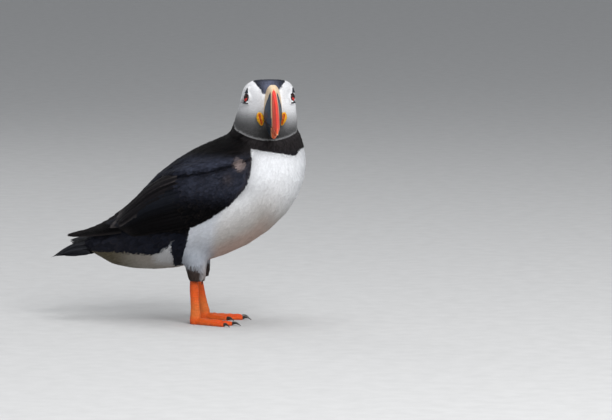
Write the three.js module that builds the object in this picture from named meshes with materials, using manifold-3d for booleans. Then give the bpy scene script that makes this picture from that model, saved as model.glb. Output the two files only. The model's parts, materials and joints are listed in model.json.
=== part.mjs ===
// A standing Atlantic puffin, life size, with its head turned to its right side.
// Millimetres, +Z up. The bird faces +X, its left side is +Y, and its soles lie at Z = 0.
import * as THREE from 'three';
import { mergeVertices } from 'three/addons/utils/BufferGeometryUtils.js';
import Module from 'manifold-3d';

const wasm = await Module();
wasm.setup();

// ---------- driving dimensions ----------
const GAP = 0.3; // clearance between neighbouring solids
const RIGHT = -1;
const LEFT = 1;

// Sections of the body from the tail root to inside the head. Each one runs from a point on the
// back line to a point on the belly line, and has a half width.
const BODY_SECTIONS = [
  { back: [-99, 65], belly: [-95, 57.5], halfWidth: 9 },
  { back: [-88, 73], belly: [-86, 53], halfWidth: 16 },
  { back: [-70, 82], belly: [-68, 44], halfWidth: 22 },
  { back: [-50, 104], belly: [-40, 41.5], halfWidth: 31 },
  { back: [-27, 127], belly: [-11, 44.5], halfWidth: 38.5 },
  { back: [-2, 143], belly: [22, 54], halfWidth: 42.5 },
  { back: [17, 151.5], belly: [52, 69], halfWidth: 43.5 },
  { back: [27, 155.5], belly: [76.5, 91], halfWidth: 41 },
  { back: [31, 159], belly: [89, 113.5], halfWidth: 36 },
  { back: [32, 162.5], belly: [92.5, 134], halfWidth: 30 },
  { back: [33, 166], belly: [90, 149], halfWidth: 25 },
  { back: [37, 171], belly: [86, 158], halfWidth: 20 },
  { back: [44, 175], belly: [78, 166], halfWidth: 13 },
];
const BODY_ROUNDNESS = 2.15; // superellipse power of a body section
const FLANK_LIMIT = 0.985; // a flank is measured no nearer to the back or belly line than this

// Parting planes of the neck: height at the cut's centre, and slopes forward and to the left.
const CUT_CENTRE = new THREE.Vector2(60, -12);
const NECK_BASE_CUT = { height: 144, slopeX: 0.06, slopeY: 0.16 };
const NECK_TOP_CUT = { height: 157, slopeX: -0.1, slopeY: 0.42 };

// The head is built about the point midway between the eyes.
const HEAD_CENTRE = new THREE.Vector3(66.4, -11, 186.9);
const HEAD_YAW = THREE.MathUtils.degToRad(-71);
const HEAD_PITCH = THREE.MathUtils.degToRad(3);
const HEAD_SECTIONS = [
  { up: 13.6, halfWidth: 10, front: 3, back: 7, shift: 0.8 },
  { up: 12.4, halfWidth: 15, front: 8.4, back: 13, shift: 1 },
  { up: 8.8, halfWidth: 19.4, front: 12.6, back: 19.5, shift: 1.3 },
  { up: 4.5, halfWidth: 21.4, front: 14.2, back: 24.4, shift: 1.7 },
  { up: -0.5, halfWidth: 22.2, front: 14.6, back: 28, shift: 2 },
  { up: -6, halfWidth: 22.9, front: 14.2, back: 30.6, shift: 2.3 },
  { up: -12, halfWidth: 24, front: 13.6, back: 32.2, shift: 2.6 },
  { up: -18, halfWidth: 25.6, front: 12.8, back: 33, shift: 3.2 },
  { up: -24, halfWidth: 26.2, front: 12, back: 33.5, shift: 3.4 },
  { up: -29, halfWidth: 24.8, front: 11.2, back: 33, shift: 3 },
  { up: -33, halfWidth: 20.6, front: 10.4, back: 31, shift: 2 },
  { up: -36, halfWidth: 13, front: 7, back: 26, shift: 1 },
];
const HEAD_ROUNDNESS = 2.2;

// The bill points along its gape line. It is a tall, thin wedge.
const BILL_BASE = { forward: 13.6, left: 1, up: -16.6 };
const BILL_YAW = THREE.MathUtils.degToRad(-70);
const BILL_PITCH = THREE.MathUtils.degToRad(15);
const BILL = { length: 42, topHeight: 27.7, bottomDepth: 13.8, root: 7, lowerShare: 0.93 };
// Half width of the bill at distances along it.
const BILL_HALF_WIDTHS = [[-7, 8], [2, 7.4], [12, 5.5], [22, 3.6], [32, 2.3], [42, 1.1]];
// How much narrower each mandible's ridge is than its gape line, at its root and past its base,
// and how late in the height that narrowing comes.
const BILL_TAPER = {
  upperRoot: 0.08, upper: 0.42, lower: 0.4, base: 16, upperPower: 1.5, lowerPower: 1.3,
};
// Side view of the ridge and of the keel: how late they fall, how full they are near the tip, and
// how far they lie from their full height.
const RIDGE = { fall: 1.8, fullness: 0.77, offset: -0.8 };
const KEEL = { fall: 1.6, fullness: 0.9, offset: 0.9 };
const BILL_SECTION = { side: 2.6, rise: 2.4 }; // superellipse powers of a section
const BILL_RINGS = { spread: 0.8, end: 0.99 }; // rings crowd to the root, and stop before the tip

const EYE = { radius: 4.2, depth: 2.7, up: -0.4 };
const EYE_FORWARD = { [RIGHT]: 6.8, [LEFT]: 4.4 }; // the head is seen a little from its left
const EYE_ROUGHNESS = 0.12;
const PLATE = { lift: 0.3, thickness: 0.8 };
// Outlines of the plates, forward and up from the eye's centre.
const UPPER_PLATE = [[-1.9, 3.7], [1.7, 3.7], [0.2, 8]];
const LOWER_PLATE = [[-3.3, -4.9], [2.7, -4.7], [2.7, -3.8], [-3.3, -3.9]];
const ROSETTE = {
  forward: 12.6, left: 0.2, up: -17, side: 9.2, halfHeight: 5.5, halfWidth: 3.3, halfDepth: 3, tilt: 0.17,
};

// Side outline of the folded wing, from the wrist back to the end of the tertials.
const WING_LOWER = [[58.5, 132], [54, 114], [38, 97], [12, 83.5], [-26, 75], [-62, 69]];
const WING_UPPER = [[58.5, 143], [49, 143.5], [28, 138.5], [0, 130], [-30, 116], [-66, 87]];
const WING_THICKNESS = 4.2;
const WING_SWELL = { start: 0.15, gain: 6 }; // the wrist is thinner than the rest of the wing
const WING_EDGE = 1.8;
const WING_ROOT = 4; // depth of the wing's inner face below the flank, before it is cut to fit
const WING_END = { x: -59, z: 80, slope: 0.16 }; // a leaning plane parts the wing from its tip
const PRIMARY_LOWER = [[-52, 69.8], [-85, 67.2], [-108.5, 67.8]];
const PRIMARY_UPPER = [[-55, 97.5], [-83, 80.6], [-109, 70.2]];
const PRIMARY_SIDE = [[30, 12], [20.5, 9], [9, 6]]; // lower and upper edge, from the middle plane
const PRIMARY_BULGE = 5; // roundness of the folded flight feathers near the wing
const PRIMARY_THICKNESS = { root: 7, tip: 2 };
// The tail is thick where the tail coverts wrap it, thin and rounded at its end, and bends down.
const TAIL = {
  rootX: -92, rootZ: 59.5, length: 30, droop: 8.1, bend: 1.7, arch: 1.5, rounding: 9, thinning: 1.9,
  rootHalfWidth: 11, endHalfWidth: 16, spread: 0.8, rootHalfThick: 5.5, endHalfThick: 0.8,
};
const BLADE_SQUARENESS = 5; // superellipse power of the wings' and tail's sections

const LEG_SIDE = 20; // distance of each leg from the middle plane
const LEG_FORWARD = { [RIGHT]: 5, [LEFT]: 0.5 }; // place of each ankle
const LEG_LEAN = { [RIGHT]: -1.5, [LEFT]: -6 }; // how far the top of each tarsus lies ahead of its ankle
const THIGH_SECTIONS = [
  { z: 74, x: -4, halfLength: 14, halfWidth: 12 },
  { z: 60, x: -1, halfLength: 12, halfWidth: 11 },
  { z: 50, x: 1.4, halfLength: 10.6, halfWidth: 9.6 },
  { z: 42, x: 2.4, halfLength: 9.2, halfWidth: 8 },
  { z: 34.5, x: 2.8, halfLength: 7.2, halfWidth: 6 },
];
const TARSUS = { top: 34.2, bottom: 7, halfLength: 4.2, halfWidth: 2.8, waist: 0.12 };
const ANKLE = { swell: 0.18, heel: 0.4, flare: 0.5, depth: -1 };
const TOES = {
  inner: { length: 22, angle: 21, claw: 6.5 },
  middle: { length: 32, angle: 0, claw: 7 },
  outer: { length: 31, angle: -21, claw: 5.8 },
};
const FOOT_TURN = THREE.MathUtils.degToRad(4); // each foot points a little outward
const TOE = {
  heel: 1.5, rootHalfWidth: 2.9, tipHalfWidth: 1.9, rootHeight: 6.4, tipHeight: 3.6, fall: 0.6,
  middle: 0.42, // height of a toe's widest place, as a share of its whole height
};
const WEB = { bottom: 0.6, thickness: 1.2, hollow: 0.86, inset: 1, curveSegments: 5 };
const CLAW = {
  rootRadius: 1.6, tipRadius: 0.35, fineness: 0.9, height: 2, hump: 0.7, drop: 1.7, slimness: 0.8,
};

// ---------- solids ----------
function signedVolume(geometry) {
  const position = geometry.attributes.position;
  const index = geometry.index;
  const [a, b, c] = [new THREE.Vector3(), new THREE.Vector3(), new THREE.Vector3()];
  let volume = 0;
  for (let i = 0; i < index.count; i += 3) {
    a.fromBufferAttribute(position, index.getX(i));
    b.fromBufferAttribute(position, index.getX(i + 1));
    c.fromBufferAttribute(position, index.getX(i + 2));
    volume += a.dot(b.cross(c)) / 6;
  }
  return volume;
}

// A three.js geometry becomes a solid with its faces pointing out.
function toSolid(source) {
  const bare = source.clone();
  bare.deleteAttribute('normal');
  bare.deleteAttribute('uv');
  const geometry = mergeVertices(bare, 1e-4);
  const order = signedVolume(geometry) < 0 ? [0, 2, 1] : [0, 1, 2];
  const index = geometry.index.array;
  const triVerts = [];
  for (let i = 0; i < index.length; i += 3) {
    const corners = order.map((k) => index[i + k]);
    if (new Set(corners).size === 3) triVerts.push(...corners);
  }
  return new wasm.Manifold(new wasm.Mesh({
    numProp: 3,
    vertProperties: new Float32Array(geometry.attributes.position.array),
    triVerts: new Uint32Array(triVerts),
  }));
}

function toGeometry(solid) {
  const mesh = solid.getMesh();
  const geometry = new THREE.BufferGeometry();
  geometry.setAttribute('position', new THREE.BufferAttribute(new Float32Array(mesh.vertProperties), 3));
  geometry.setIndex(new THREE.BufferAttribute(new Uint32Array(mesh.triVerts), 1));
  geometry.computeVertexNormals();
  return geometry;
}

// A sphere's rings are moved onto sections: place(t, angle) gives the point of the section at t,
// from 0 to 1, and the two poles close the first and the last section with a flat cap.
function loft(around, rings, place) {
  const geometry = new THREE.SphereGeometry(1, around, rings + 1);
  const position = geometry.attributes.position;
  const stride = around + 1;
  const capCentre = (t) => {
    const centre = new THREE.Vector3();
    for (let k = 0; k < around; k += 1) centre.add(place(t, (k / around) * 2 * Math.PI));
    return centre.divideScalar(around);
  };
  const first = capCentre(0);
  const last = capCentre(1);
  for (let i = 0; i < position.count; i += 1) {
    const ring = Math.floor(i / stride);
    const angle = ((i % stride) % around) / around * 2 * Math.PI;
    let point = first;
    if (ring > rings) point = last;
    else if (ring > 0) point = place((ring - 1) / (rings - 1), angle);
    position.setXYZ(i, point.x, point.y, point.z);
  }
  return toSolid(geometry);
}

const power = (value, roundness) => Math.sign(value) * Math.abs(value) ** (2 / roundness);

// Smooth curve through three numbers per station.
function throughStations(triples) {
  const points = triples.map((triple) => new THREE.Vector3(...triple));
  return new THREE.CatmullRomCurve3(points, false, 'catmullrom', 0.5);
}

const backLine = throughStations(BODY_SECTIONS.map((s) => [...s.back, s.halfWidth]));
const bellyLine = throughStations(BODY_SECTIONS.map((s) => [...s.belly, s.halfWidth]));

function bodySection(t) {
  const back = backLine.getPoint(t);
  const belly = bellyLine.getPoint(t);
  const chord = new THREE.Vector2(back.x - belly.x, back.y - belly.y);
  const centre = new THREE.Vector2((back.x + belly.x) / 2, (back.y + belly.y) / 2);
  return { back, belly, chord, centre, halfWidth: back.z };
}

function bodySolid(grow, around = 30, rings = 20) {
  return loft(around, rings, (t, angle) => {
    const section = bodySection(t);
    const reach = section.chord.length() / 2 + grow;
    const lift = power(Math.sin(angle), BODY_ROUNDNESS) * reach;
    const side = power(Math.cos(angle), BODY_ROUNDNESS) * (section.halfWidth + grow);
    const along = section.chord.clone().normalize().multiplyScalar(lift).add(section.centre);
    return new THREE.Vector3(along.x, side, along.y);
  });
}

// Half width of the body beside a point of its side view.
function flankWidth(x, z) {
  let low = 0;
  let high = 1;
  for (let step = 0; step < 30; step += 1) {
    const middle = (low + high) / 2;
    const { belly, chord } = bodySection(middle);
    const ahead = chord.y * (x - belly.x) - chord.x * (z - belly.y) > 0;
    if (ahead) low = middle;
    else high = middle;
  }
  const { belly, chord, halfWidth } = bodySection(low);
  const share = ((x - belly.x) * chord.x + (z - belly.y) * chord.y) / chord.lengthSq();
  const offset = Math.min(Math.abs(2 * share - 1), FLANK_LIMIT);
  return halfWidth * (1 - offset ** BODY_ROUNDNESS) ** (1 / BODY_ROUNDNESS);
}

// ---------- head and bill frames ----------
function frameAt(origin, yaw, pitch) {
  const forward = new THREE.Vector3(
    Math.cos(yaw) * Math.cos(pitch), Math.sin(yaw) * Math.cos(pitch), -Math.sin(pitch));
  const left = new THREE.Vector3(-Math.sin(yaw), Math.cos(yaw), 0);
  const up = new THREE.Vector3().crossVectors(forward, left);
  const frame = new THREE.Matrix4().makeBasis(forward, left, up);
  return frame.setPosition(origin);
}

const headFrame = frameAt(HEAD_CENTRE, HEAD_YAW, HEAD_PITCH);
const inHead = (forward, left, up) => new THREE.Vector3(forward, left, up).applyMatrix4(headFrame);
const billBase = inHead(BILL_BASE.forward, BILL_BASE.left, BILL_BASE.up);
const billFrame = frameAt(billBase, BILL_YAW, BILL_PITCH);
const inBill = (x, y, z) => new THREE.Vector3(x, y, z).applyMatrix4(billFrame);

const headReach = throughStations(HEAD_SECTIONS.map((s) => [s.front, s.back, s.halfWidth]));
const headPlace = throughStations(HEAD_SECTIONS.map((s) => [s.up, s.shift, 0]));

function headSolid(grow, around = 28, rings = 15) {
  return loft(around, rings, (t, angle) => {
    const reach = headReach.getPoint(t);
    const place = headPlace.getPoint(t);
    const middle = (reach.x - reach.y) / 2;
    const halfLength = (reach.x + reach.y) / 2 + grow;
    const forward = middle + power(Math.cos(angle), HEAD_ROUNDNESS) * halfLength;
    const left = power(Math.sin(angle), HEAD_ROUNDNESS) * (reach.z + grow) - place.y;
    const up = place.x + (t < 0.5 ? grow : -grow) * Math.abs(2 * t - 1);
    return inHead(forward, left, up);
  });
}

// Height of the bill's ridge, depth of its lower edge and its half width, at a distance along it.
const reachAt = (x, full, curve) => curve.offset
  + full * (1 - Math.max(x / BILL.length, 0) ** curve.fall) ** curve.fullness;
const ridgeHeight = (x) => reachAt(x, BILL.topHeight, RIDGE);
const keelDepth = (x) => reachAt(x, BILL.bottomDepth, KEEL);
function billHalfWidth(x) {
  const after = Math.max(BILL_HALF_WIDTHS.findIndex(([place]) => place >= x), 1);
  const [[x0, width0], [x1, width1]] = BILL_HALF_WIDTHS.slice(after - 1, after + 1);
  return THREE.MathUtils.mapLinear(x, x0, x1, width0, width1);
}

function mandible(direction, grow, around = 16, rings = 10) {
  const shortening = direction > 0 ? 1 : BILL.lowerShare;
  return loft(around, rings, (t, angle) => {
    const end = BILL.length * shortening * BILL_RINGS.end;
    const x = THREE.MathUtils.lerp(-BILL.root, end, t ** BILL_RINGS.spread);
    const height = direction > 0 ? ridgeHeight(x) : keelDepth(x / shortening);
    const rise = Math.max(Math.sin(angle), 0);
    const pastBase = THREE.MathUtils.smoothstep(x, -BILL.root, BILL_TAPER.base);
    const upperTaper = THREE.MathUtils.lerp(BILL_TAPER.upperRoot, BILL_TAPER.upper, pastBase);
    const taper = direction > 0
      ? 1 - upperTaper * rise ** BILL_TAPER.upperPower
      : 1 - BILL_TAPER.lower * rise ** BILL_TAPER.lowerPower;
    const y = power(Math.cos(angle), BILL_SECTION.side) * (billHalfWidth(x) * taper + grow);
    const lift = power(rise, BILL_SECTION.rise) * (height - GAP / 2 + grow);
    const z = GAP / 2 - (rise === 0 ? grow : 0) + lift;
    return inBill(x, y, direction * z);
  });
}

function ball(centre, radius, around = 12, rings = 8) {
  const geometry = new THREE.SphereGeometry(radius, around, rings);
  geometry.translate(centre.x, centre.y, centre.z);
  return toSolid(geometry);
}

// The point of the head's side at a place in its side view, and the direction out of the skin.
function headSide(side, forward, up) {
  let [low, high] = [0, 1];
  for (let step = 0; step < 30; step += 1) {
    const middle = (low + high) / 2;
    if (headPlace.getPoint(middle).x > up) low = middle;
    else high = middle;
  }
  const reach = headReach.getPoint(low);
  const offset = (forward - (reach.x - reach.y) / 2) / ((reach.x + reach.y) / 2);
  const share = (1 - Math.abs(offset) ** HEAD_ROUNDNESS) ** (1 / HEAD_ROUNDNESS);
  return new THREE.Vector3(forward, side * share * reach.z - headPlace.getPoint(low).y, up);
}

function headNormal(side, forward, up) {
  const along = headSide(side, forward + 1, up).sub(headSide(side, forward - 1, up));
  const rising = headSide(side, forward, up + 1).sub(headSide(side, forward, up - 1));
  return rising.cross(along).multiplyScalar(side).normalize();
}

function eyeCentre(side) {
  const inward = headNormal(side, EYE_FORWARD[side], EYE.up).multiplyScalar(-EYE.depth);
  return headSide(side, EYE_FORWARD[side], EYE.up).add(inward).applyMatrix4(headFrame);
}

// A thin horn plate beside the eye: an outline about the eye, lying just over the cheek.
function eyePlate(side, outline) {
  const centreUp = outline.reduce((sum, point) => sum + point[1], 0) / outline.length;
  const foot = headSide(side, EYE_FORWARD[side], EYE.up + centreUp);
  const normal = headNormal(side, EYE_FORWARD[side], EYE.up + centreUp);
  const across = new THREE.Vector3(0, 0, 1).cross(normal).normalize().multiplyScalar(side);
  const rise = new THREE.Vector3().crossVectors(normal, across).multiplyScalar(side);
  const shape = new THREE.Shape(outline.map((point) => new THREE.Vector2(-point[0], point[1] - centreUp)));
  const geometry = new THREE.ExtrudeGeometry(shape, { depth: PLATE.thickness, bevelEnabled: false });
  const frame = new THREE.Matrix4().makeBasis(across, rise, normal);
  frame.setPosition(foot.addScaledVector(normal, PLATE.lift));
  geometry.applyMatrix4(frame);
  geometry.applyMatrix4(headFrame);
  return toSolid(geometry);
}

function rosette(side) {
  const geometry = new THREE.SphereGeometry(1, 12, 8);
  geometry.scale(ROSETTE.halfDepth, ROSETTE.halfWidth, ROSETTE.halfHeight);
  geometry.rotateX(-side * ROSETTE.tilt);
  geometry.translate(ROSETTE.forward, ROSETTE.left + side * ROSETTE.side, ROSETTE.up);
  geometry.applyMatrix4(headFrame);
  return toSolid(geometry);
}

// ---------- wings and tail ----------
// A blade beside the body. Its outline lies in the side view between two edge lines, and
// place(t, point, share, face) moves a point of that outline onto its inner or outer face.
// share runs from the lower edge to the upper edge, and face from 0 inside to 1 outside.
function blade(lowerPoints, upperPoints, around, rings, place) {
  const lower = throughStations(lowerPoints.map(([x, z]) => [x, 0, z]));
  const upper = throughStations(upperPoints.map(([x, z]) => [x, 0, z]));
  return loft(around, rings, (t, angle) => {
    const share = (1 + power(Math.sin(angle), BLADE_SQUARENESS)) / 2;
    const face = (1 + power(Math.cos(angle), BLADE_SQUARENESS)) / 2;
    return place(t, lower.getPoint(t).lerp(upper.getPoint(t), share), share, face);
  });
}

// The folded wing follows the flank, and swells from thin edges to its full thickness.
function wingSolid(side) {
  return blade(WING_LOWER, WING_UPPER, 18, 12, (t, point, share, face) => {
    const step = 1;
    const width = flankWidth(point.x, point.z);
    const normal = new THREE.Vector3(
      flankWidth(point.x - step, point.z) - flankWidth(point.x + step, point.z), 2 * step,
      flankWidth(point.x, point.z - step) - flankWidth(point.x, point.z + step)).normalize();
    const fullness = Math.min(1, WING_SWELL.start + WING_SWELL.gain * t);
    const swell = Math.sin(Math.PI * share) * fullness;
    const outer = GAP + THREE.MathUtils.lerp(WING_EDGE, WING_THICKNESS, swell);
    const placed = new THREE.Vector3(point.x, width, point.z);
    placed.addScaledVector(normal, THREE.MathUtils.lerp(-WING_ROOT, outer, face));
    return placed.setY(side * placed.y);
  });
}

// The folded flight feathers lean over the rump like one side of a roof.
function primariesSolid(side) {
  const sideLine = throughStations(PRIMARY_SIDE.map(([low, high]) => [low, high, 0]));
  return blade(PRIMARY_LOWER, PRIMARY_UPPER, 14, 7, (t, point, share, face) => {
    const edges = sideLine.getPoint(t);
    const thickness = THREE.MathUtils.lerp(PRIMARY_THICKNESS.root, PRIMARY_THICKNESS.tip, t);
    const bulge = PRIMARY_BULGE * (1 - t) * Math.sin(Math.PI * share);
    const outer = THREE.MathUtils.lerp(edges.x, edges.y, share) + bulge;
    return point.setY(side * (outer - thickness * (1 - face)));
  });
}

function tailSolid() {
  return loft(20, 6, (t, angle) => {
    const { rootHalfWidth, endHalfWidth, rootHalfThick, endHalfThick } = TAIL;
    const halfWidth = THREE.MathUtils.lerp(rootHalfWidth, endHalfWidth, t ** TAIL.spread);
    const across = power(Math.cos(angle), BLADE_SQUARENESS);
    const rounding = TAIL.rounding * t * across ** 2;
    const along = TAIL.length * t - rounding;
    const halfThick = THREE.MathUtils.lerp(rootHalfThick, endHalfThick, t ** TAIL.thinning);
    const arch = -TAIL.arch * across ** 2;
    const lift = power(Math.sin(angle), BLADE_SQUARENESS) * halfThick;
    const sunk = TAIL.droop * Math.max(along / TAIL.length, 0) ** TAIL.bend;
    const z = TAIL.rootZ - sunk + arch + lift;
    return new THREE.Vector3(TAIL.rootX - along, across * halfWidth, z);
  });
}

// ---------- legs and feet ----------
const thighReach = throughStations(THIGH_SECTIONS.map((s) => [s.x, s.halfLength, s.halfWidth]));
const thighHeight = throughStations(THIGH_SECTIONS.map((s) => [s.z, 0, 0]));

function thighSolid(side) {
  return loft(16, 7, (t, angle) => {
    const reach = thighReach.getPoint(t);
    const x = LEG_FORWARD[side] + LEG_LEAN[side] + reach.x + Math.cos(angle) * reach.y;
    const y = side * LEG_SIDE + Math.sin(angle) * reach.z;
    return new THREE.Vector3(x, y, thighHeight.getPoint(t).x);
  });
}

function tarsusSolid(side) {
  return loft(12, 5, (t, angle) => {
    const waist = 1 - TARSUS.waist * Math.sin(Math.PI * t);
    const lean = LEG_LEAN[side] * (1 - t);
    const x = LEG_FORWARD[side] + lean + Math.cos(angle) * TARSUS.halfLength * waist;
    const y = side * LEG_SIDE + Math.sin(angle) * TARSUS.halfWidth * waist;
    return new THREE.Vector3(x, y, THREE.MathUtils.lerp(TARSUS.top, TARSUS.bottom, t));
  });
}

// Foot parts are made for the left foot, ankle at the origin, toes along +X, inner side at -Y.
function toPlacedFoot(side, geometry) {
  geometry.scale(1, side, 1);
  geometry.rotateZ(side * FOOT_TURN);
  geometry.translate(LEG_FORWARD[side], side * LEG_SIDE, 0);
  return geometry;
}

const toeDirection = (toe) => {
  const angle = -THREE.MathUtils.degToRad(toe.angle);
  return new THREE.Vector2(Math.cos(angle), Math.sin(angle));
};

function loftGeometry(around, rings, place) {
  return toGeometry(loft(around, rings, place));
}

function toeGeometry(toe) {
  const direction = toeDirection(toe);
  return loftGeometry(8, 6, (t, angle) => {
    const along = THREE.MathUtils.lerp(-TOE.heel, toe.length, t);
    const halfWidth = THREE.MathUtils.lerp(TOE.rootHalfWidth, TOE.tipHalfWidth, t);
    const height = THREE.MathUtils.lerp(TOE.rootHeight, TOE.tipHeight, t ** TOE.fall);
    const side = Math.cos(angle) * halfWidth;
    const z = height * (TOE.middle + (1 - TOE.middle) * Math.sin(angle));
    return new THREE.Vector3(
      along * direction.x - side * direction.y, along * direction.y + side * direction.x, z);
  });
}

function webGeometry() {
  const [inner, middle, outer] = [TOES.inner, TOES.middle, TOES.outer]
    .map((toe) => toeDirection(toe).multiplyScalar(toe.length - WEB.inset));
  const hollow = (a, b) => a.clone().add(b).multiplyScalar(WEB.hollow / 2);
  const shape = new THREE.Shape();
  shape.moveTo(-1, 0);
  shape.lineTo(inner.x, inner.y);
  shape.quadraticCurveTo(hollow(inner, middle).x, hollow(inner, middle).y, middle.x, middle.y);
  shape.quadraticCurveTo(hollow(middle, outer).x, hollow(middle, outer).y, outer.x, outer.y);
  shape.closePath();
  const geometry = new THREE.ExtrudeGeometry(
    shape, { depth: WEB.thickness, bevelEnabled: false, curveSegments: WEB.curveSegments });
  return geometry.translate(0, 0, WEB.bottom);
}

function ankleGeometry() {
  return loftGeometry(10, 4, (t, angle) => {
    const swell = 1 + ANKLE.swell * Math.sin(Math.PI * t);
    const x = Math.cos(angle) * TARSUS.halfLength * swell - ANKLE.heel * (1 - t);
    const y = Math.sin(angle) * (TARSUS.halfWidth + ANKLE.flare * t) * swell;
    return new THREE.Vector3(x, y, THREE.MathUtils.lerp(TARSUS.bottom - GAP, ANKLE.depth, t));
  });
}

function footSolid(side) {
  const parts = [...Object.values(TOES).map(toeGeometry), webGeometry(), ankleGeometry()];
  return parts
    .map((geometry) => toSolid(toPlacedFoot(side, geometry)))
    .reduce((whole, part) => whole.add(part))
    .trimByPlane([0, 0, 1], 0);
}

function clawSolid(side, toe) {
  const direction = toeDirection(toe);
  const geometry = loftGeometry(6, 5, (t, angle) => {
    const radius = THREE.MathUtils.lerp(CLAW.rootRadius, CLAW.tipRadius, t ** CLAW.fineness);
    const along = toe.length + GAP + toe.claw * t;
    const across = Math.cos(angle) * radius * CLAW.slimness;
    const middle = CLAW.height + CLAW.hump * Math.sin(Math.PI * t) - CLAW.drop * t ** 2;
    const z = middle + Math.sin(angle) * radius;
    return new THREE.Vector3(
      along * direction.x - across * direction.y, along * direction.y + across * direction.x, z);
  });
  return toSolid(toPlacedFoot(side, geometry)).trimByPlane([0, 0, 1], 0);
}

// ---------- assembly ----------
const group = new THREE.Group();

function addNode(name, solid, color, roughness) {
  const material = new THREE.MeshStandardMaterial({ color, roughness, metalness: 0 });
  const mesh = new THREE.Mesh(toGeometry(solid), material);
  mesh.name = name;
  group.add(mesh);
}

const COLOURS = {
  black: 0x16161a, white: 0xf2f1ee, face: 0xc9c8c8, rump: 0x1b1a1d, horn: 0xd84a26, rosette: 0xeca013,
  eye: 0x1d1210, plate: 0x3a4450, leg: 0xe8501a, claw: 0x1a1716,
};
const FEATHER_ROUGHNESS = 0.85;
const HORN_ROUGHNESS = 0.4;
const SKIN_ROUGHNESS = 0.55;

const grownBody = bodySolid(GAP);
const grownFlesh = grownBody.add(headSolid(GAP));
const flesh = [RIGHT, LEFT]
  .map((side) => ball(eyeCentre(side), EYE.radius + GAP))
  .reduce((whole, pocket) => whole.subtract(pocket), bodySolid(0).add(headSolid(0)));

// The neck is parted from the head and from the trunk by leaning planes.
function planeAt(cut, offset) {
  const normal = new THREE.Vector3(-cut.slopeX, -cut.slopeY, 1).normalize();
  const point = new THREE.Vector3(CUT_CENTRE.x, CUT_CENTRE.y, cut.height + offset);
  return { normal: normal.toArray(), reversed: normal.clone().negate().toArray(), height: normal.dot(point) };
}
function above(solid, cut) {
  const plane = planeAt(cut, GAP / 2);
  return solid.trimByPlane(plane.normal, plane.height);
}
function below(solid, cut) {
  const plane = planeAt(cut, -GAP / 2);
  return solid.trimByPlane(plane.reversed, -plane.height);
}

// The wing is parted from its flight feathers by one more plane.
const wingEndNormal = new THREE.Vector3(1, 0, WING_END.slope).normalize();
const wingEnd = wingEndNormal.dot(new THREE.Vector3(WING_END.x, 0, WING_END.z));
const beforeWingEnd = (solid) => solid.trimByPlane(wingEndNormal.toArray(), wingEnd + GAP / 2);
const afterWingEnd = (solid) => solid
  .trimByPlane(wingEndNormal.clone().negate().toArray(), GAP / 2 - wingEnd);

addNode('head', above(flesh, NECK_TOP_CUT), COLOURS.face, FEATHER_ROUGHNESS);
addNode('neck', above(below(flesh, NECK_TOP_CUT), NECK_BASE_CUT), COLOURS.black, FEATHER_ROUGHNESS);
addNode('trunk', below(flesh, NECK_BASE_CUT), COLOURS.white, FEATHER_ROUGHNESS);

const upperMandible = mandible(1, 0);
const lowerMandible = mandible(-1, 0);
addNode('bill_upper', upperMandible.subtract(grownFlesh), COLOURS.horn, HORN_ROUGHNESS);
addNode('bill_lower', lowerMandible.subtract(grownFlesh), COLOURS.horn, HORN_ROUGHNESS);

for (const side of [RIGHT, LEFT]) {
  const hand = side === LEFT ? 'left' : 'right';
  addNode(`eye_${hand}`, ball(eyeCentre(side), EYE.radius), COLOURS.eye, EYE_ROUGHNESS);
  addNode(`rosette_${hand}`, rosette(side).subtract(grownFlesh).subtract(mandible(1, GAP))
    .subtract(mandible(-1, GAP)), COLOURS.rosette, SKIN_ROUGHNESS);
  addNode(`eye_plate_upper_${hand}`, eyePlate(side, UPPER_PLATE), COLOURS.plate, HORN_ROUGHNESS);
  addNode(`eye_plate_lower_${hand}`, eyePlate(side, LOWER_PLATE), COLOURS.plate, HORN_ROUGHNESS);
  const wing = beforeWingEnd(wingSolid(side).subtract(grownBody));
  const primaries = afterWingEnd(primariesSolid(side).subtract(grownBody));
  addNode(`wing_${hand}`, wing, COLOURS.black, FEATHER_ROUGHNESS);
  addNode(`primaries_${hand}`, primaries, COLOURS.rump, FEATHER_ROUGHNESS);
  addNode(`thigh_${hand}`, thighSolid(side).subtract(grownBody), COLOURS.white, FEATHER_ROUGHNESS);
  addNode(`tarsus_${hand}`, tarsusSolid(side), COLOURS.leg, SKIN_ROUGHNESS);
  addNode(`foot_${hand}`, footSolid(side), COLOURS.leg, SKIN_ROUGHNESS);
  for (const [toeName, toe] of Object.entries(TOES)) {
    addNode(`claw_${toeName}_${hand}`, clawSolid(side, toe), COLOURS.claw, HORN_ROUGHNESS);
  }
}
addNode('tail', tailSolid().subtract(grownBody), COLOURS.rump, FEATHER_ROUGHNESS);

const bounds = new THREE.Box3().setFromObject(group);
const centre = bounds.getCenter(new THREE.Vector3());
group.position.set(-centre.x, -centre.y, -bounds.min.z);

export default group;
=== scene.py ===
import json
import math

import bmesh
import bpy
import numpy as np
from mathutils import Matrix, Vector
from mathutils.bvhtree import BVHTree


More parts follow.
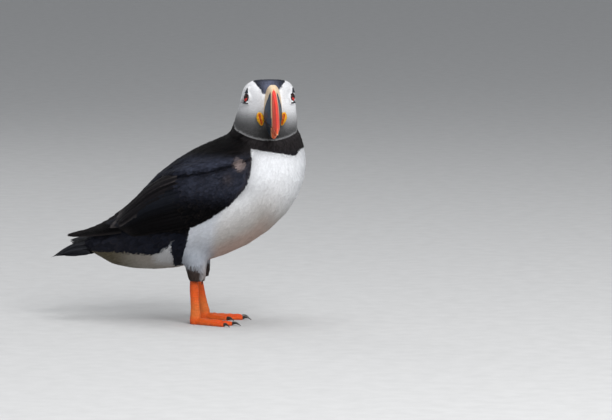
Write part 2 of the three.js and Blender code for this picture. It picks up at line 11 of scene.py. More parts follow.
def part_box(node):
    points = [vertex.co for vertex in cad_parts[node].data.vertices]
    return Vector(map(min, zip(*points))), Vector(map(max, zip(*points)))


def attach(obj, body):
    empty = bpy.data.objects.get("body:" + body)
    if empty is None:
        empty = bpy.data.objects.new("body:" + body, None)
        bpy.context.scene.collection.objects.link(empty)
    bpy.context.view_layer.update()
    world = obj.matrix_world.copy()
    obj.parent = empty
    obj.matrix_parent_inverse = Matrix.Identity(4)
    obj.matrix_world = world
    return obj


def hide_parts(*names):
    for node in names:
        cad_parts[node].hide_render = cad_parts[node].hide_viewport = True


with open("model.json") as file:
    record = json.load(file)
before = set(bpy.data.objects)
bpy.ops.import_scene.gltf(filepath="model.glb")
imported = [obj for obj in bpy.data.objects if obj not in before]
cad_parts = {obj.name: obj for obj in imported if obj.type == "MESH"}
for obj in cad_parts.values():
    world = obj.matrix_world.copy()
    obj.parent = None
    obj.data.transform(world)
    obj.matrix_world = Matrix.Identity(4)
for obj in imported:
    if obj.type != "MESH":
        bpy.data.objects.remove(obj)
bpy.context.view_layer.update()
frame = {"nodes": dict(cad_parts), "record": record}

MM = 0.001
RANDOM = np.random.default_rng(20)

# The bird frame: millimetres, X forward, Y to the left, Z up, with the origin on the floor
# between the two feet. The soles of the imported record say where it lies.
SOLES = {mount["name"]: np.array(mount["pos_m"]) for mount in frame["record"]["mounts"]}
LEFT_ANKLE_X = 0.5
RIGHT_ANKLE_X = 5.0
ORIGIN = (SOLES["sole_left"] + SOLES["sole_right"]) / 2
ORIGIN[0] -= (LEFT_ANKLE_X + RIGHT_ANKLE_X) / 2 * MM
HANDS = {"right": -1, "left": 1}

# ---------- camera ----------
AZIMUTH = math.radians(16)
ELEVATION = math.radians(5)
LENS = 300
SENSOR = 36
DISTANCE = 4.182
AIM_RIGHT = 89.38 * MM  # the picture's centre, right of and above the point between the feet
AIM_UP = 91.43 * MM

back = Vector((math.sin(AZIMUTH) * math.cos(ELEVATION), -math.cos(AZIMUTH) * math.cos(ELEVATION),
               math.sin(ELEVATION)))
right = Vector((math.cos(AZIMUTH), math.sin(AZIMUTH), 0))
aim = Vector(ORIGIN) + right * AIM_RIGHT + back.cross(right) * AIM_UP
camera_data = bpy.data.cameras.new("camera")
camera_data.lens = LENS
camera_data.sensor_width = SENSOR
camera_data.clip_end = 100
camera = bpy.data.objects.new("camera", camera_data)
bpy.context.scene.collection.objects.link(camera)
camera.location = aim + back * DISTANCE
camera.rotation_euler = (-back).to_track_quat("-Z", "Y").to_euler()
bpy.context.scene.camera = camera
bpy.context.scene.view_settings.view_transform = "Standard"


# ---------- small helpers ----------
def ramp(low, high, value):
    """Smooth step from 0 at low to 1 at high; low may be the larger one."""
    share = np.clip((np.asarray(value, float) - low) / (high - low), 0, 1)
    return share * share * (3 - 2 * share)


def zone(steps, at):
    """Product of smooth steps over the measures in at. A step is (measure, where 0, where 1)."""
    share = 1.0
    for measure, low, high in steps:
        share = share * ramp(low, high, at[measure])
    return share


def bell(value, width, power=2):
    """1 where the value is 0, falling to 0 within about twice the width."""
    return np.exp(-(value / width) ** power)


def mix(a, b, share):
    return a + (b - a) * share


def over(base, colour, share):
    """The colour laid over the base, fully where share is 1."""
    return mix(base, colour, share[:, None])


def unit(vectors):
    length = np.linalg.norm(vectors, axis=-1, keepdims=True)
    return vectors / np.maximum(length, 1e-9)


def dot(a, b):
    return (a * b).sum(-1, keepdims=True)


def flattened(vectors, normals):
    """The part of each vector that lies in the surface, at unit length."""
    return unit(vectors - normals * dot(vectors, normals))


def ripple(points, size, seed=0.0):
    """Cheap smooth noise from -1 to 1, about size millimetres from crest to crest."""
    a = points @ np.array([0.81, 0.53, 0.26]) * (2 * math.pi / size)
    b = points @ np.array([-0.35, 0.62, 0.70]) * (2 * math.pi / size * 1.31)
    c = points @ np.array([0.44, -0.71, 0.55]) * (2 * math.pi / size * 0.77)
    return (np.sin(a + seed) + np.sin(b + 2.1 * seed) + np.sin(c + 0.7 * seed)
            + np.sin(a * 1.9 + b + seed)) / 4


def signed_power(value, exponent):
    return np.sign(value) * np.abs(value) ** exponent


def row_frame(points):
    return ORIGIN + np.asarray(points, float) * MM


def bird_frame(points):
    return (np.asarray(points, float) - ORIGIN) / MM


def node_box(name):
    """Lowest and highest corner of a CAD node, and its middle, in the bird frame."""
    low, high = (bird_frame(corner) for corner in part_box(name))
    return low, high, (low + high) / 2


def turned_frame(yaw, pitch):
    """Rows are the forward, left and up directions of a turned frame."""
    yaw, pitch = math.radians(yaw), math.radians(pitch)
    forward = np.array([math.cos(yaw) * math.cos(pitch), math.sin(yaw) * math.cos(pitch),
                        -math.sin(pitch)])
    left = np.array([-math.sin(yaw), math.cos(yaw), 0])
    return np.array([forward, left, np.cross(forward, left)])


# The head's frame starts midway between the eyes, the bill's frame at the middle of its base.
HEAD_CENTRE = np.array([66.4, -11, 186.9])
HEAD_AXES = turned_frame(-71, 3)
BILL_CENTRE = HEAD_CENTRE + np.array([13.6, 1.0, -16.6]) @ HEAD_AXES
BILL_AXES = turned_frame(-70, 15)
HEAD_SHIFT = 1.25  # the head's own middle lies this far to its right of the frame's


def in_head(points):
    return (points - HEAD_CENTRE) @ HEAD_AXES.T


def from_head(points):
    return HEAD_CENTRE + np.asarray(points, float) @ HEAD_AXES


def from_bill(points):
    return BILL_CENTRE + np.asarray(points, float) @ BILL_AXES


# ---------- meshes ----------
def new_object(name, mesh, material=None, smooth=True):
    """An object in the scene, smoothly shaded unless told otherwise."""
    piece = bpy.data.objects.new(name, mesh)
    bpy.context.scene.collection.objects.link(piece)
    if smooth:
        mesh.polygons.foreach_set("use_smooth", [True] * len(mesh.polygons))
    if material:
        mesh.materials.append(material)
    return piece


def show(mesh, material, slot, *replaced):
    """Puts a finished mesh into the scene, in the place of the CAD nodes named last."""
    piece = new_object(mesh.name, mesh, material)
    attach(piece, "root")
    if replaced:
        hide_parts(*replaced)


def mesh_from(name, points, faces):
    """A mesh from points of the bird frame."""
    mesh = bpy.data.meshes.new(name)
    mesh.from_pydata(row_frame(points).tolist(), [], faces)
    mesh.update()
    return mesh


def add_colours(mesh, colours):
    """Gives every point its tint, which the materials read."""
    layer = mesh.attributes.new("tint", "FLOAT_COLOR", "POINT")
    full = np.ones((len(colours), 4), np.float32)
    full[:, :3] = np.clip(colours, 0, 1)
    layer.data.foreach_set("color", full.ravel())


def add_vectors(mesh, name, vectors):
    layer = mesh.attributes.new(name, "FLOAT_VECTOR", "POINT")
    layer.data.foreach_set("vector", np.asarray(vectors, np.float32).ravel())


def read_rows(items, key, width, kind=float):
    """A mesh's own numbers as an array with width columns."""
    flat = np.zeros(len(items) * width, kind)
    items.foreach_get(key, flat)
    return flat.reshape(-1, width)


def points_of(mesh):
    return bird_frame(read_rows(mesh.vertices, "co", 3))


def normals_of(mesh):
    return read_rows(mesh.vertex_normals, "vector", 3, np.float32).astype(float)


def set_points(mesh, points):
    mesh.vertices.foreach_set("co", row_frame(points).ravel())
    mesh.update()


def relaxed(mesh, rounds, strength=0.5):
    """Moves every point part of the way to the middle of its neighbours, in turns."""
    a, b = read_rows(mesh.edges, "vertices", 2, np.int64).T
    points = points_of(mesh)
    count = np.bincount(a, minlength=len(points)) + np.bincount(b, minlength=len(points))
    for _ in range(rounds):
        total = np.zeros_like(points)
        for axis in range(3):
            total[:, axis] = (np.bincount(a, points[b, axis], len(points))
                              + np.bincount(b, points[a, axis], len(points)))
        points += (total / np.maximum(count, 1)[:, None] - points) * strength
    set_points(mesh, points)


def remeshed(name, nodes, grow, voxel, balls=()):
    """One closed mesh over CAD nodes, each grown a little so that neighbours merge. Balls,
    given as (centre, radius), are merged in as well."""
    bm = bmesh.new()
    for node in nodes:
        part = bmesh.new()
        part.from_mesh(frame["nodes"][node].data)
        bmesh.ops.remove_doubles(part, verts=part.verts, dist=MM / 1000)
        bmesh.ops.recalc_face_normals(part, faces=part.faces)
        part.normal_update()
        moves = [vertex.normal * grow * MM for vertex in part.verts]
        for vertex, move in zip(part.verts, moves):
            vertex.co += move
        mesh = bpy.data.meshes.new("part")
        part.to_mesh(mesh)
        part.free()
        bm.from_mesh(mesh)
        bpy.data.meshes.remove(mesh)
    for centre, radius in balls:
        ball = bmesh.ops.create_icosphere(bm, subdivisions=3, radius=radius * MM)
        bmesh.ops.translate(bm, verts=ball["verts"], vec=Vector(row_frame(centre)))
    mesh = bpy.data.meshes.new(name)
    bm.to_mesh(mesh)
    bm.free()
    source = new_object(name + "_source", mesh)
    modifier = source.modifiers.new("voxels", "REMESH")
    modifier.mode = "VOXEL"
    modifier.voxel_size = voxel * MM
    modifier.adaptivity = 0
    depsgraph = bpy.context.evaluated_depsgraph_get()
    result = bpy.data.meshes.new_from_object(source.evaluated_get(depsgraph))
    bpy.data.objects.remove(source)
    bpy.data.meshes.remove(mesh)
    result.name = name
    return result


# ---------- materials ----------
class Look:
    """A node material under construction. Sockets take a number, a colour or a node's output."""

    def __init__(self, name):
        self.material = bpy.data.materials.new(name)
        self.material.use_nodes = True
        self.tree = self.material.node_tree
        self.surface = self.tree.nodes["Principled BSDF"]

    def node(self, kind, sockets, **settings):
        """A new node. Its sockets are given by name or number, its other settings by name."""
        made = self.tree.nodes.new("ShaderNode" + kind)
        for key, value in settings.items():
            setattr(made, key, value)
        self.put(made, sockets)
        return made

    def put(self, node, sockets):
        """Links each socket to another node's output, or sets it to a number or colour."""
        for key, value in sockets.items():
            if isinstance(value, bpy.types.NodeSocket):
                self.tree.links.new(value, node.inputs[key])
            else:
                node.inputs[key].default_value = value

    def math(self, operation, *values):
        return self.node("Math", dict(enumerate(values)), operation=operation).outputs[0]

    def blend(self, a, b, share, kind="MIX"):
        return self.node("Mix", {0: share, 6: a, 7: b}, data_type="RGBA",
                         blend_type=kind).outputs[2]

    def attribute(self, name, output="Color"):
        return self.node("Attribute", {}, attribute_name=name).outputs[output]

    def place(self):
        return self.node("TexCoord", {}).outputs["Object"]

    def noise(self, scale, detail=4.0, roughness=0.55, vector=None):
        sockets = {"Scale": scale, "Detail": detail, "Roughness": roughness,
                   "Vector": vector or self.place()}
        return self.node("TexNoise", sockets).outputs["Fac"]

    def cells(self, scale, feature, vector=None):
        sockets = {"Scale": scale, "Vector": vector or self.place()}
        return self.node("TexVoronoi", sockets, feature=feature).outputs["Distance"]

    def spread(self, value, low, high, to_low, to_high):
        """The value's range from low to high stretched to another range."""
        sockets = dict(enumerate((value, low, high, to_low, to_high)))
        return self.node("MapRange", sockets).outputs[0]

    def varied(self, noise, low, high):
        """The range in which a noise mostly lies, stretched from low to high."""
        return self.spread(noise, 0.3, 0.7, low, high)

    def grey(self, value):
        return self.node("CombineColor", {"Red": value, "Green": value, "Blue": value}).outputs[0]

    def shaded(self, colour, *shades):
        """The colour multiplied by every shade."""
        shade = shades[0]
        for other in shades[1:]:
            shade = self.math("MULTIPLY", shade, other)
        return self.blend(colour, self.grey(shade), 1.0, "MULTIPLY")

    def bump(self, height, distance, strength=1.0, under=None):
        sockets = {"Height": height, "Distance": distance, "Strength": strength}
        if under:
            sockets["Normal"] = under
        return self.node("Bump", sockets).outputs["Normal"]

    def finish(self, colour, roughness, **sockets):
        """Sets the surface's sockets, whose names are given with _ for a space."""
        sockets = {key.replace("_", " "): value for key, value in sockets.items()}
        self.put(self.surface, {"Base Color": colour, "Roughness": roughness, **sockets})
        return self.material


def feather_look(name, roughness, sheen, gloss, contrast, barb=0.34, depth=0.06 * MM):
    """Vanes: barbs run out from the rachis at a slant, and each feather has its own tone."""
    look = Look(name)
    parts = look.node("SeparateXYZ", {"Vector": look.attribute("vane", "Vector")}).outputs
    along, across, tone = parts[0], parts[1], parts[2]
    off = look.math("ABSOLUTE", across)
    slant = look.math("SUBTRACT", along, look.math("MULTIPLY", off, 0.85))
    wander = look.math("MULTIPLY", look.noise(420.0, 2.0), 5.0)
    phase = look.math("ADD", look.math("MULTIPLY", slant, 2 * math.pi / barb), wander)
    barbs = look.spread(look.math("SINE", phase), -1.0, 1.0, 0.0, 1.0)
    rachis = look.spread(off, 0.05, 0.16, 1.0, 0.0)
    colour = look.shaded(
        look.attribute("tint"),
        look.spread(barbs, 0.0, 1.0, 1 - 0.11 * contrast, 1 + 0.06 * contrast),
        look.spread(tone, 0.0, 1.0, 1 - 0.15 * contrast, 1 + 0.13 * contrast),
        look.varied(look.noise(160.0, 3.0), 1 - 0.07 * contrast, 1 + 0.07 * contrast))
    height = look.math("ADD", barbs, look.math("MULTIPLY", rachis, 1.5))
    rough = look.varied(look.noise(300.0, 2.0), roughness - 0.08, roughness + 0.06)
    return look.finish(colour, rough, Normal=look.bump(height, depth), Sheen_Weight=sheen,
                       Sheen_Roughness=0.45, Specular_IOR_Level=gloss)


PALE_FEATHERS = feather_look("pale_feathers", 0.85, 0.05, 0.08, 0.45, depth=0.04 * MM)
DARK_FEATHERS = feather_look("dark_feathers", 0.55, 0.0, 0.03, 1.8)
FLIGHT_FEATHERS = feather_look("flight_feathers", 0.5, 0.0, 0.03, 2.0, barb=0.42, depth=0.09 * MM)


def skin_look():
    """The skin under the coat: its markings, with the fine pits that feathers grow from."""
    look = Look("skin")
    down = look.noise(1500.0, 3.0)
    pits = look.spread(look.cells(520.0, "F1"), 0.0, 0.5, 0.0, 1.0)
    colour = look.shaded(look.attribute("tint"), look.varied(down, 0.85, 1.1),
                         look.spread(pits, 0.0, 1.0, 0.85, 1.05))
    normal = look.bump(look.math("ADD", down, pits), 0.1 * MM)
    return look.finish(colour, look.varied(down, 0.72, 0.9), Normal=normal,
                       Specular_IOR_Level=0.04)


def skin_pad_look(name, scale, depth, roughness):
    """Bare fleshy skin: fine wrinkles and small grains."""
    look = Look(name)
    wrinkle = look.noise(scale, 5.0, 0.65)
    grains = look.spread(look.cells(scale * 1.8, "DISTANCE_TO_EDGE"), 0.0, 0.12, 0.0, 1.0)
    colour = look.shaded(look.attribute("tint"), look.varied(wrinkle, 0.86, 1.12),
                         look.spread(grains, 0.0, 1.0, 0.86, 1.03))
    rough = look.varied(wrinkle, roughness - 0.08, roughness + 0.12)
    normal = look.bump(grains, depth, 0.7, look.bump(wrinkle, depth * 1.4))
    return look.finish(colour, rough, Normal=normal, Specular_IOR_Level=0.3)


def bill_look():
    """Horn with fine growth lines, small chips and a soft gloss."""
    look = Look("bill_horn")
    place = look.attribute("place", "Vector")
    along = look.node("Mapping", {"Vector": place, "Scale": (2.4, 2.4, 0.35)}).outputs[0]
    lines = look.noise(0.9, 4.0, 0.6, along)
    chips = look.noise(2.2, 3.0, 0.7, place)
    pits = look.spread(look.cells(1.5, "F1", place), 0.0, 0.45, 0.0, 1.0)
    colour = look.shaded(look.attribute("tint"), look.varied(lines, 0.84, 1.12),
                         look.varied(chips, 0.92, 1.06))
    rough = look.spread(chips, 0.3, 0.75, 0.3, 0.5)
    normal = look.bump(pits, 0.05 * MM, 0.7, look.bump(lines, 0.12 * MM))
    return look.finish(colour, rough, Normal=normal, Specular_IOR_Level=0.22)


def eye_look():
    """A wet eyeball, clouded a little under its clear coat."""
    look = Look("eye")
    colour = look.shaded(look.attribute("tint"), look.varied(look.noise(900.0, 3.0), 0.8, 1.2))
    rough = look.varied(look.noise(300.0, 2.0), 0.05, 0.1)
    return look.finish(colour, rough, Specular_IOR_Level=0.25, Coat_Weight=0.35,
                       Coat_Roughness=0.03)


def horn_look(name, dark, light, scale, roughness):
    """Small horn parts: fine grain, worn paler at random."""
    look = Look(name)
    grain = look.noise(scale, 5.0, 0.6)
    wear = look.spread(look.noise(scale * 0.3, 3.0), 0.35, 0.7, 0.0, 1.0)
    colour = look.shaded(look.blend((*dark, 1), (*light, 1), wear), look.varied(grain, 0.8, 1.15))
    rough = look.varied(grain, roughness - 0.06, roughness + 0.12)
    return look.finish(colour, rough, Normal=look.bump(grain, 0.12 * MM))


def floor_look():
    look = Look("floor")
    tone = look.varied(look.noise(60.0, 3.0), 0.46, 0.50)
    return look.finish(look.grey(tone), 0.9)


ROSETTE_LOOK = skin_pad_look("rosette_skin", 900.0, 0.15 * MM, 0.45)
LEG_LOOK = skin_pad_look("leg_skin", 1100.0, 0.12 * MM, 0.42)
BILL_LOOK = bill_look()
EYE_LOOK = eye_look()
PLATE_LOOK = horn_look("eye_plate", (0.007, 0.009, 0.013), (0.020, 0.026, 0.036), 900.0, 0.5)
CLAW_LOOK = horn_look("claw", (0.008, 0.0065, 0.006), (0.035, 0.026, 0.02), 700.0, 0.35)


# ---------- the bird's outlines ----------
# Half width of the black crown and nape along the head, from behind to the bill.
CROWN_FORWARD = [-40, -28, -20, -10, 0, 4, 9, 12, 13.5, 15]
CROWN_HALF_WIDTH = [11.5, 11, 11.5, 12.5, 12.8, 12.0, 9.8, 7.0, 5.0, 4.4]
# The grey face's tones, from the chin up to the brow: its own grey, darker toward the chin, with
# painted shade over the lower face.
FACE_UP = [-36, -31, -27, -22, -18, -15, -12, -6, 2, 14]
FACE_GREY_AND_SHADE = [0.036, 0.042, 0.062, 0.125, 0.22, 0.36, 0.55, 0.74, 0.76, 0.72]
# The wing's front and lower edge in the side view, from the wrist back to the tip.
WING_EDGE_Z = [99.7, 110.4, 117, 123.4, 131.5, 139, 150]
WING_EDGE_X = [40, 50.1, 54.9, 56.5, 57.7, 57.6, 54.5]
WING_UNDER_X = [-112, -47, -28, -10, 9, 24, 40, 50]
WING_UNDER_Z = [66, 72, 76.3, 79.5, 81.5, 89, 99.7, 110.4]
# The scapulars' lower edge over the folded wing, in the side view.
SCAPULAR_X = [-34, -23, -11, 5, 22, 35, 48, 57]
SCAPULAR_Z = [113, 118.5, 121.5, 123.9, 126.8, 130.4, 134.8, 138]
# The belly's lowest line in the side view.
BELLY_X = [-86, -68, -40, -11, 22, 52, 76.5, 89]
BELLY_Z = [53, 44, 41.5, 44.5, 54, 69, 91, 113.5]
# The white breast's upper edge from right to left, lowest on the side the head is turned to.
BREAST_LEFT = [-38, -34, -31, -29, -26, -23, -20, -16.8, -14, -11.5, -9.3, -6, 5, 20, 33, 38]
BREAST_TOP = [146.5, 145.7, 144.4, 143.2, 141.9, 140.9, 140.1, 139.5, 139.3, 140.3, 142.0, 143.8,
              144.8, 145.0, 145.9, 146.5]
# The dark rump side's lower edge, and the dark flank stripe's two edges. A white wedge parts
# them low down.
RUMP_X = [-110, -77, -67, -49, -31, -22, -14, -10.8]
RUMP_Z = [57, 57.2, 57.6, 57.4, 56.6, 59.5, 64, 70.1]
STRIPE_Z = [46, 50.7, 61.7, 70.4, 80.6]
STRIPE_BACK = [-17, -14.5, -11.8, -10, -10]
STRIPE_FRONT = [-7.5, -5.8, -1.2, 2.7, 6.5]
STRIPE_LOWEST = 43
STRIPE_HIGHEST = 82
STRIPE_SIDE = 10  # nearer the middle plane there is no stripe
WEDGE = 1.2
WING_CORNER = 105  # height at which the wing's front edge gives way to its lower one
WRIST_FRONT = 54
WRIST_TOP = 146.5
OUTSIDE = -5.0  # a depth for places that can't be dark
# The head lies inside this radius round a place behind its frame's start, and over this height.
HEAD_BACK = 8
HEAD_RADIUS = 38
HEAD_LOWEST = 148

# The way each eye looks: forward, outward and up in the head's frame.
EYE_OUT = {"left": unit(np.array([0.34, 0.92, 0.12])), "right": unit(np.array([0.37, 0.92, 0.12]))}
EYE_SINK = 2.7  # depth of an eye's centre under the head's outer surface
EYE_RADIUS = 4.2
EYE_REACH = 7  # places farther in or out than this belong to the rest of the head


def eye_frame(hand):
    """Centre of the head's surface over the eye, and the directions out, forward and up there."""
    out = EYE_OUT[hand] * np.array([1, HANDS[hand], 1]) @ HEAD_AXES
    forward = unit(np.cross(HEAD_AXES[2], out)) * -HANDS[hand]
    forward = forward * np.sign(forward @ HEAD_AXES[0])
    rise = np.cross(out, forward)
    rise = rise * np.sign(rise[2])
    return node_box("eye_" + hand)[2] + out * EYE_SINK, out, forward, rise


EYES = {hand: eye_frame(hand) for hand in HANDS}


def near_eye(points, hand):
    """Height over the head's surface at the eye, and places forward of and above its centre."""
    centre, out, forward, rise = EYES[hand]
    offset = points - centre
    return offset @ out, offset @ forward, offset @ rise


def under_plates(points, hand, soft):
    """1 under the two horn plates of an eye, falling to 0 over soft millimetres round them."""
    height, ahead, rise = near_eye(points, hand)
    bottom, top = 3.6, 8
    half_width = np.interp(rise, [bottom, top], [1.9, 0.2])
    upper = ramp(soft, 0, np.abs(ahead) - half_width) * ramp(bottom - soft, bottom, rise) \
        * ramp(top + soft, top, rise)
    lower = ramp(soft, 0, np.abs(ahead + 0.3) - 3) * ramp(soft, 0, np.abs(rise + 4.3) - 0.6)
    return np.maximum(upper, lower) * (np.abs(height) < EYE_REACH)


def face_floor(head):
    """Height of the face's lower edge, in the head frame: it rises to the sides and behind."""
    forward, left = head[:, 0], head[:, 1] + 1.5
    rise = (np.maximum(0, 2 - forward) / 22) ** 2 * 15
    return -34.6 + 0.0098 * left ** 2 + rise


def crease_distance(points, hand):
    """Distance in the side view from the furrow that runs back from the eye, and its strength."""
    height, forward, rise = near_eye(points, hand)
    line = -2.3 - 0.32 * (-forward - 3) - 0.012 * np.maximum(0, -forward - 3) ** 2
    fade = ramp(-3.0, -4.6, forward) * ramp(-19, -12, forward) * ramp(-14, -8, height)
    return np.abs(rise - line), fade


def on_head(points):
    """True on the head above its lower edge, False on the body."""
    head = in_head(points)
    side = np.hypot(head[:, 0] + HEAD_BACK, head[:, 1] + HEAD_SHIFT)
    return (head[:, 2] > face_floor(head)) & (side < HEAD_RADIUS) & (points[:, 2] > HEAD_LOWEST)


def crown_depth(head):
    """How far a place in the head's frame lies inside the black crown and nape."""
    forward, left, up = head.T
    depth = np.interp(forward, CROWN_FORWARD, CROWN_HALF_WIDTH) - np.abs(left + HEAD_SHIFT)
    return np.minimum(depth, np.where(forward > 0, up - 3.2, 9.0))


def dark_depth(points):
    """How far a point lies inside the body's black parts, in millimetres; negative outside."""
    x, y, z = points.T
    wing = np.where(z > WING_CORNER, np.interp(z, WING_EDGE_Z, WING_EDGE_X) - x,
                    z - np.interp(x, WING_UNDER_X, WING_UNDER_Z))
    wing = np.where((z > WRIST_TOP) & (x > WRIST_FRONT), OUTSIDE, wing)
    collar = z - np.interp(y, BREAST_LEFT, BREAST_TOP)
    gap = WEDGE * ramp(61, 57, z)
    behind = np.interp(z, STRIPE_Z, STRIPE_BACK) + 1 - x
    rump = np.minimum(z - np.interp(x, RUMP_X, RUMP_Z), behind - gap * 2)
    stripe = np.minimum(2 - gap - behind, np.interp(z, STRIPE_Z, STRIPE_FRONT) - x)
    on_flank = (z < STRIPE_HIGHEST) & (z > STRIPE_LOWEST) & (np.abs(y) > STRIPE_SIDE)
    stripe = np.where(on_flank, stripe, OUTSIDE)
    return np.maximum(np.maximum(wing, collar), np.maximum(rump, stripe))


def measures(points):
    """What the zones are measured in. x, y and z are the bird frame's. side is the distance from
    its middle plane, before_wing the distance in front of the wing's edge, over_belly and
    over_scapulars the height over those lines; forward, left, up and off are the head's."""
    x, y, z = points.T
    forward, left, up = in_head(points).T
    left = left + HEAD_SHIFT
    return {"x": x, "y": y, "z": z, "side": np.abs(y),
            "before_wing": x - np.interp(z, WING_EDGE_Z, WING_EDGE_X),
            "over_belly": z - np.interp(x, BELLY_X, BELLY_Z),
            "over_scapulars": z - np.interp(x, SCAPULAR_X, SCAPULAR_Z),
            "forward": forward, "left": left, "up": up, "off": np.abs(left)}


BESIDE_BODY = [("x", -44, -30), ("x", 60, 52), ("side", 14, 24), ("z", 152, 144)]


def above_scapulars(points):
    """Height over the scapulars' lower edge, and 1 where the wing lies beside the body there."""
    at = measures(points)
    return at["over_scapulars"], zone(BESIDE_BODY, at)


# ---------- markings ----------
WHITE = np.array([0.81, 0.825, 0.85])
# Painted shade under the body, with a little of the belly's own grey-brown.
BELLY = np.array([0.40, 0.37, 0.34])
# A painted warm reflection of the ground, low on the belly.
GROUND_REFLECTION_PINK = np.array([0.50, 0.34, 0.28])
# Painted shade on the white under the tail, darker and browner toward the rear.
VENT = np.array([0.27, 0.25, 0.22])
VENT_REAR = np.array([0.085, 0.072, 0.045])
# Painted shade on the white behind the leg and down the thigh, greyer and darker toward the bottom.
SHADED_FLANK_WHITE = np.array([0.58, 0.61, 0.66])
SHADED_LEG_WHITE = np.array([0.31, 0.34, 0.39])
SHANK = np.array([0.030, 0.018, 0.013])
BLACK_BACK = np.array([0.0070, 0.0085, 0.0145])
LIT_WING_BLACK = np.array([0.0220, 0.0250, 0.0380])
BLACK_RUMP = np.array([0.0100, 0.0110, 0.0165])
BLACK_COLLAR = np.array([0.0185, 0.0165, 0.0175])
# Painted shade on the black plumage.
SHADE_BLACK = np.array([0.0010, 0.0010, 0.0012])
BROWN_EDGE = np.array([0.060, 0.045, 0.038])
WRIST_BROWN = np.array([0.24, 0.19, 0.18])
BLACK_CROWN = np.array([0.016, 0.018, 0.025])
CROWN_HIGHLIGHT = np.array([0.085, 0.093, 0.135])
FACE_TINT = np.array([0.985, 0.99, 1.015])
LID_RED = np.array([0.50, 0.045, 0.040])
# Painted shadow on the lids' upper part.
LID_SHADOW = np.array([0.030, 0.010, 0.010])
LID_SLATE = np.array([0.012, 0.013, 0.017])

# The zones of the body's colours and of the light and shade painted on it, in the measures named
# above.
BELLY_SHADE = [("over_belly", 48, 4), ("x", 92, 60), ("z", 150, 96)]
# Painted shade in the corner behind the leg.
SHADE_BEHIND_LEG = [("x", -34, -24), ("x", -8, -14), ("z", 44, 54)]
SHADE_BESIDE_WING = [("before_wing", 10, 1), ("z", 100, 112)]
GROUND_REFLECTION = [("over_belly", 15, 3), ("x", 76, 50), ("x", 6, 20)]
LEG = [("z", 64, 56), ("x", -16, -8), ("x", 24, 16)]
LEG_INNER = 8  # no leg is nearer the middle plane than this
THIGH = [("before_thigh", 15, 4), ("x", -16, -9), ("side", 8, 15)]
SOCK_FRONT = [("ragged_z", 50, 43), ("ragged_x", 14.3, 8.3)]
SOCK_END = [("ragged_z", 40, 35)]
LIT_WING = [("side", 15, 32), ("x", -17, 10), ("z", 98, 116)]
RUMP = [("x", -20, -60), ("z", 84, 70)]
COLLAR = [("z", 134, 146), ("x", 30, 52)]
NAPE_SHADE = [("z", 134, 142), ("x", 60, 44)]
UNDER_WING_SHADE = [("z", 112, 94), ("z", 70, 78), ("side", 15, 28)]
WING_REAR_SHADE = [("x", 4, -26), ("z", 76, 84), ("side", 15, 28)]
SCAPULAR_CREASE_SHADE = [("over_scapulars", -6, -0.8), ("over_scapulars", 1.2, 0.0)]
SCAPULAR_RIDGE_HIGHLIGHT = [("over_scapulars", 0.4, 2.2), ("over_scapulars", 9, 3)]
WING_RIM = [("before_wing", -4.5, -0.5)]
# Places on the folded wing, as x and z: the pale worn wrist, and a brown smudge behind it.
WRIST = (48.6, 132.6)
SMUDGE = (40, 121)
WING_SIDE = 25  # nearer the middle plane than this there is no wing
LOWER_BREAST = 113  # height of a soft shade across the breast

# Lighter and darker parts of the face, as painted light and shade, with the chin's own darker grey
# deepened by painted shade: how much, and the zone.
FACE_LIGHT_AND_SHADE = [
    (0.16, [("left", 5, 14), ("up", 2, -4)]),
    (-0.17, [("left", 4, 12), ("up", 1, 8)]),
    (-0.16, [("left", -4, -14), ("up", -9, -16)]),
    (-0.35, [("off", 15, 5), ("up", -19, -27), ("forward", 0, 8)]),
    (-0.25, [("forward", -12, -26), ("up", 6, -12)]),
]
LIT_CHEEK = [("left", 6, 18), ("up", -30, -14)]
LID_OUTER = 3.2
EYE_SHADOW_SLATE = [("radius", 5.0, 4.5), ("rise", 0.2, 1.2), ("ahead", 2.1, 1.6), ("ahead", -3.0, -2.4)]
EYE_UNDER = [("radius", 4.9, 4.5), ("rise", -1.6, -2.2), ("ahead", 2.1, 1.6), ("ahead", -3.3, -2.8)]
LID_RING = [("radius", LID_OUTER + 0.15, LID_OUTER - 0.15)]


def white_parts(points, at):
    """The white plumage, with painted shade under the body and tail, across the breast, beside the
    wing, behind the leg and down the thigh, a painted reflection of the ground low on the belly,
    and the leg's dark sock.
    """
    x, z, side = at["x"], at["z"], at["side"]
    white = np.repeat(WHITE[None], len(points), 0)
    # Painted shade under the body.
    white = over(white, BELLY, zone(BELLY_SHADE, at))
    # Painted shade under the tail, darker toward the rear.
    white = over(white, over(VENT, VENT_REAR, ramp(-35, -70, x)), ramp(-8, -14, x))
    # Painted shade in the corner behind the leg.
    white = over(white, SHADED_FLANK_WHITE, 0.5 * zone(SHADE_BEHIND_LEG, at))
    white = white * (1 - 0.2 * bell(z - LOWER_BREAST, 9) * ramp(80, 60, x))[:, None]
    # Painted shade on the breast beside the wing's front edge.
    white = white * (1 - 0.2 * zone(SHADE_BESIDE_WING, at) * (side > 18))[:, None]
    # A painted warm reflection of the ground, low on the belly.
    white = over(white, GROUND_REFLECTION_PINK, 0.7 * zone(GROUND_REFLECTION, at))
    ragged = 1.6 * ripple(points, 5.0)
    at = {**at, "before_thigh": x - 6.5 - 0.37 * (z - 51), "ragged_x": x + ragged,
          "ragged_z": z + ragged}
    # Painted shade down the thigh, darker toward its bottom.
    thigh = 0.9 * zone(THIGH, at) * ramp(112, 90, z)
    white = over(white, over(SHADED_LEG_WHITE, SHADED_FLANK_WHITE, ramp(52, 80, z)), thigh)
    leg = zone(LEG, at) * (side > LEG_INNER)
    sock = np.maximum(zone(SOCK_FRONT, at), zone(SOCK_END, at)) * leg
    return over(white, SHANK, 0.97 * sock)


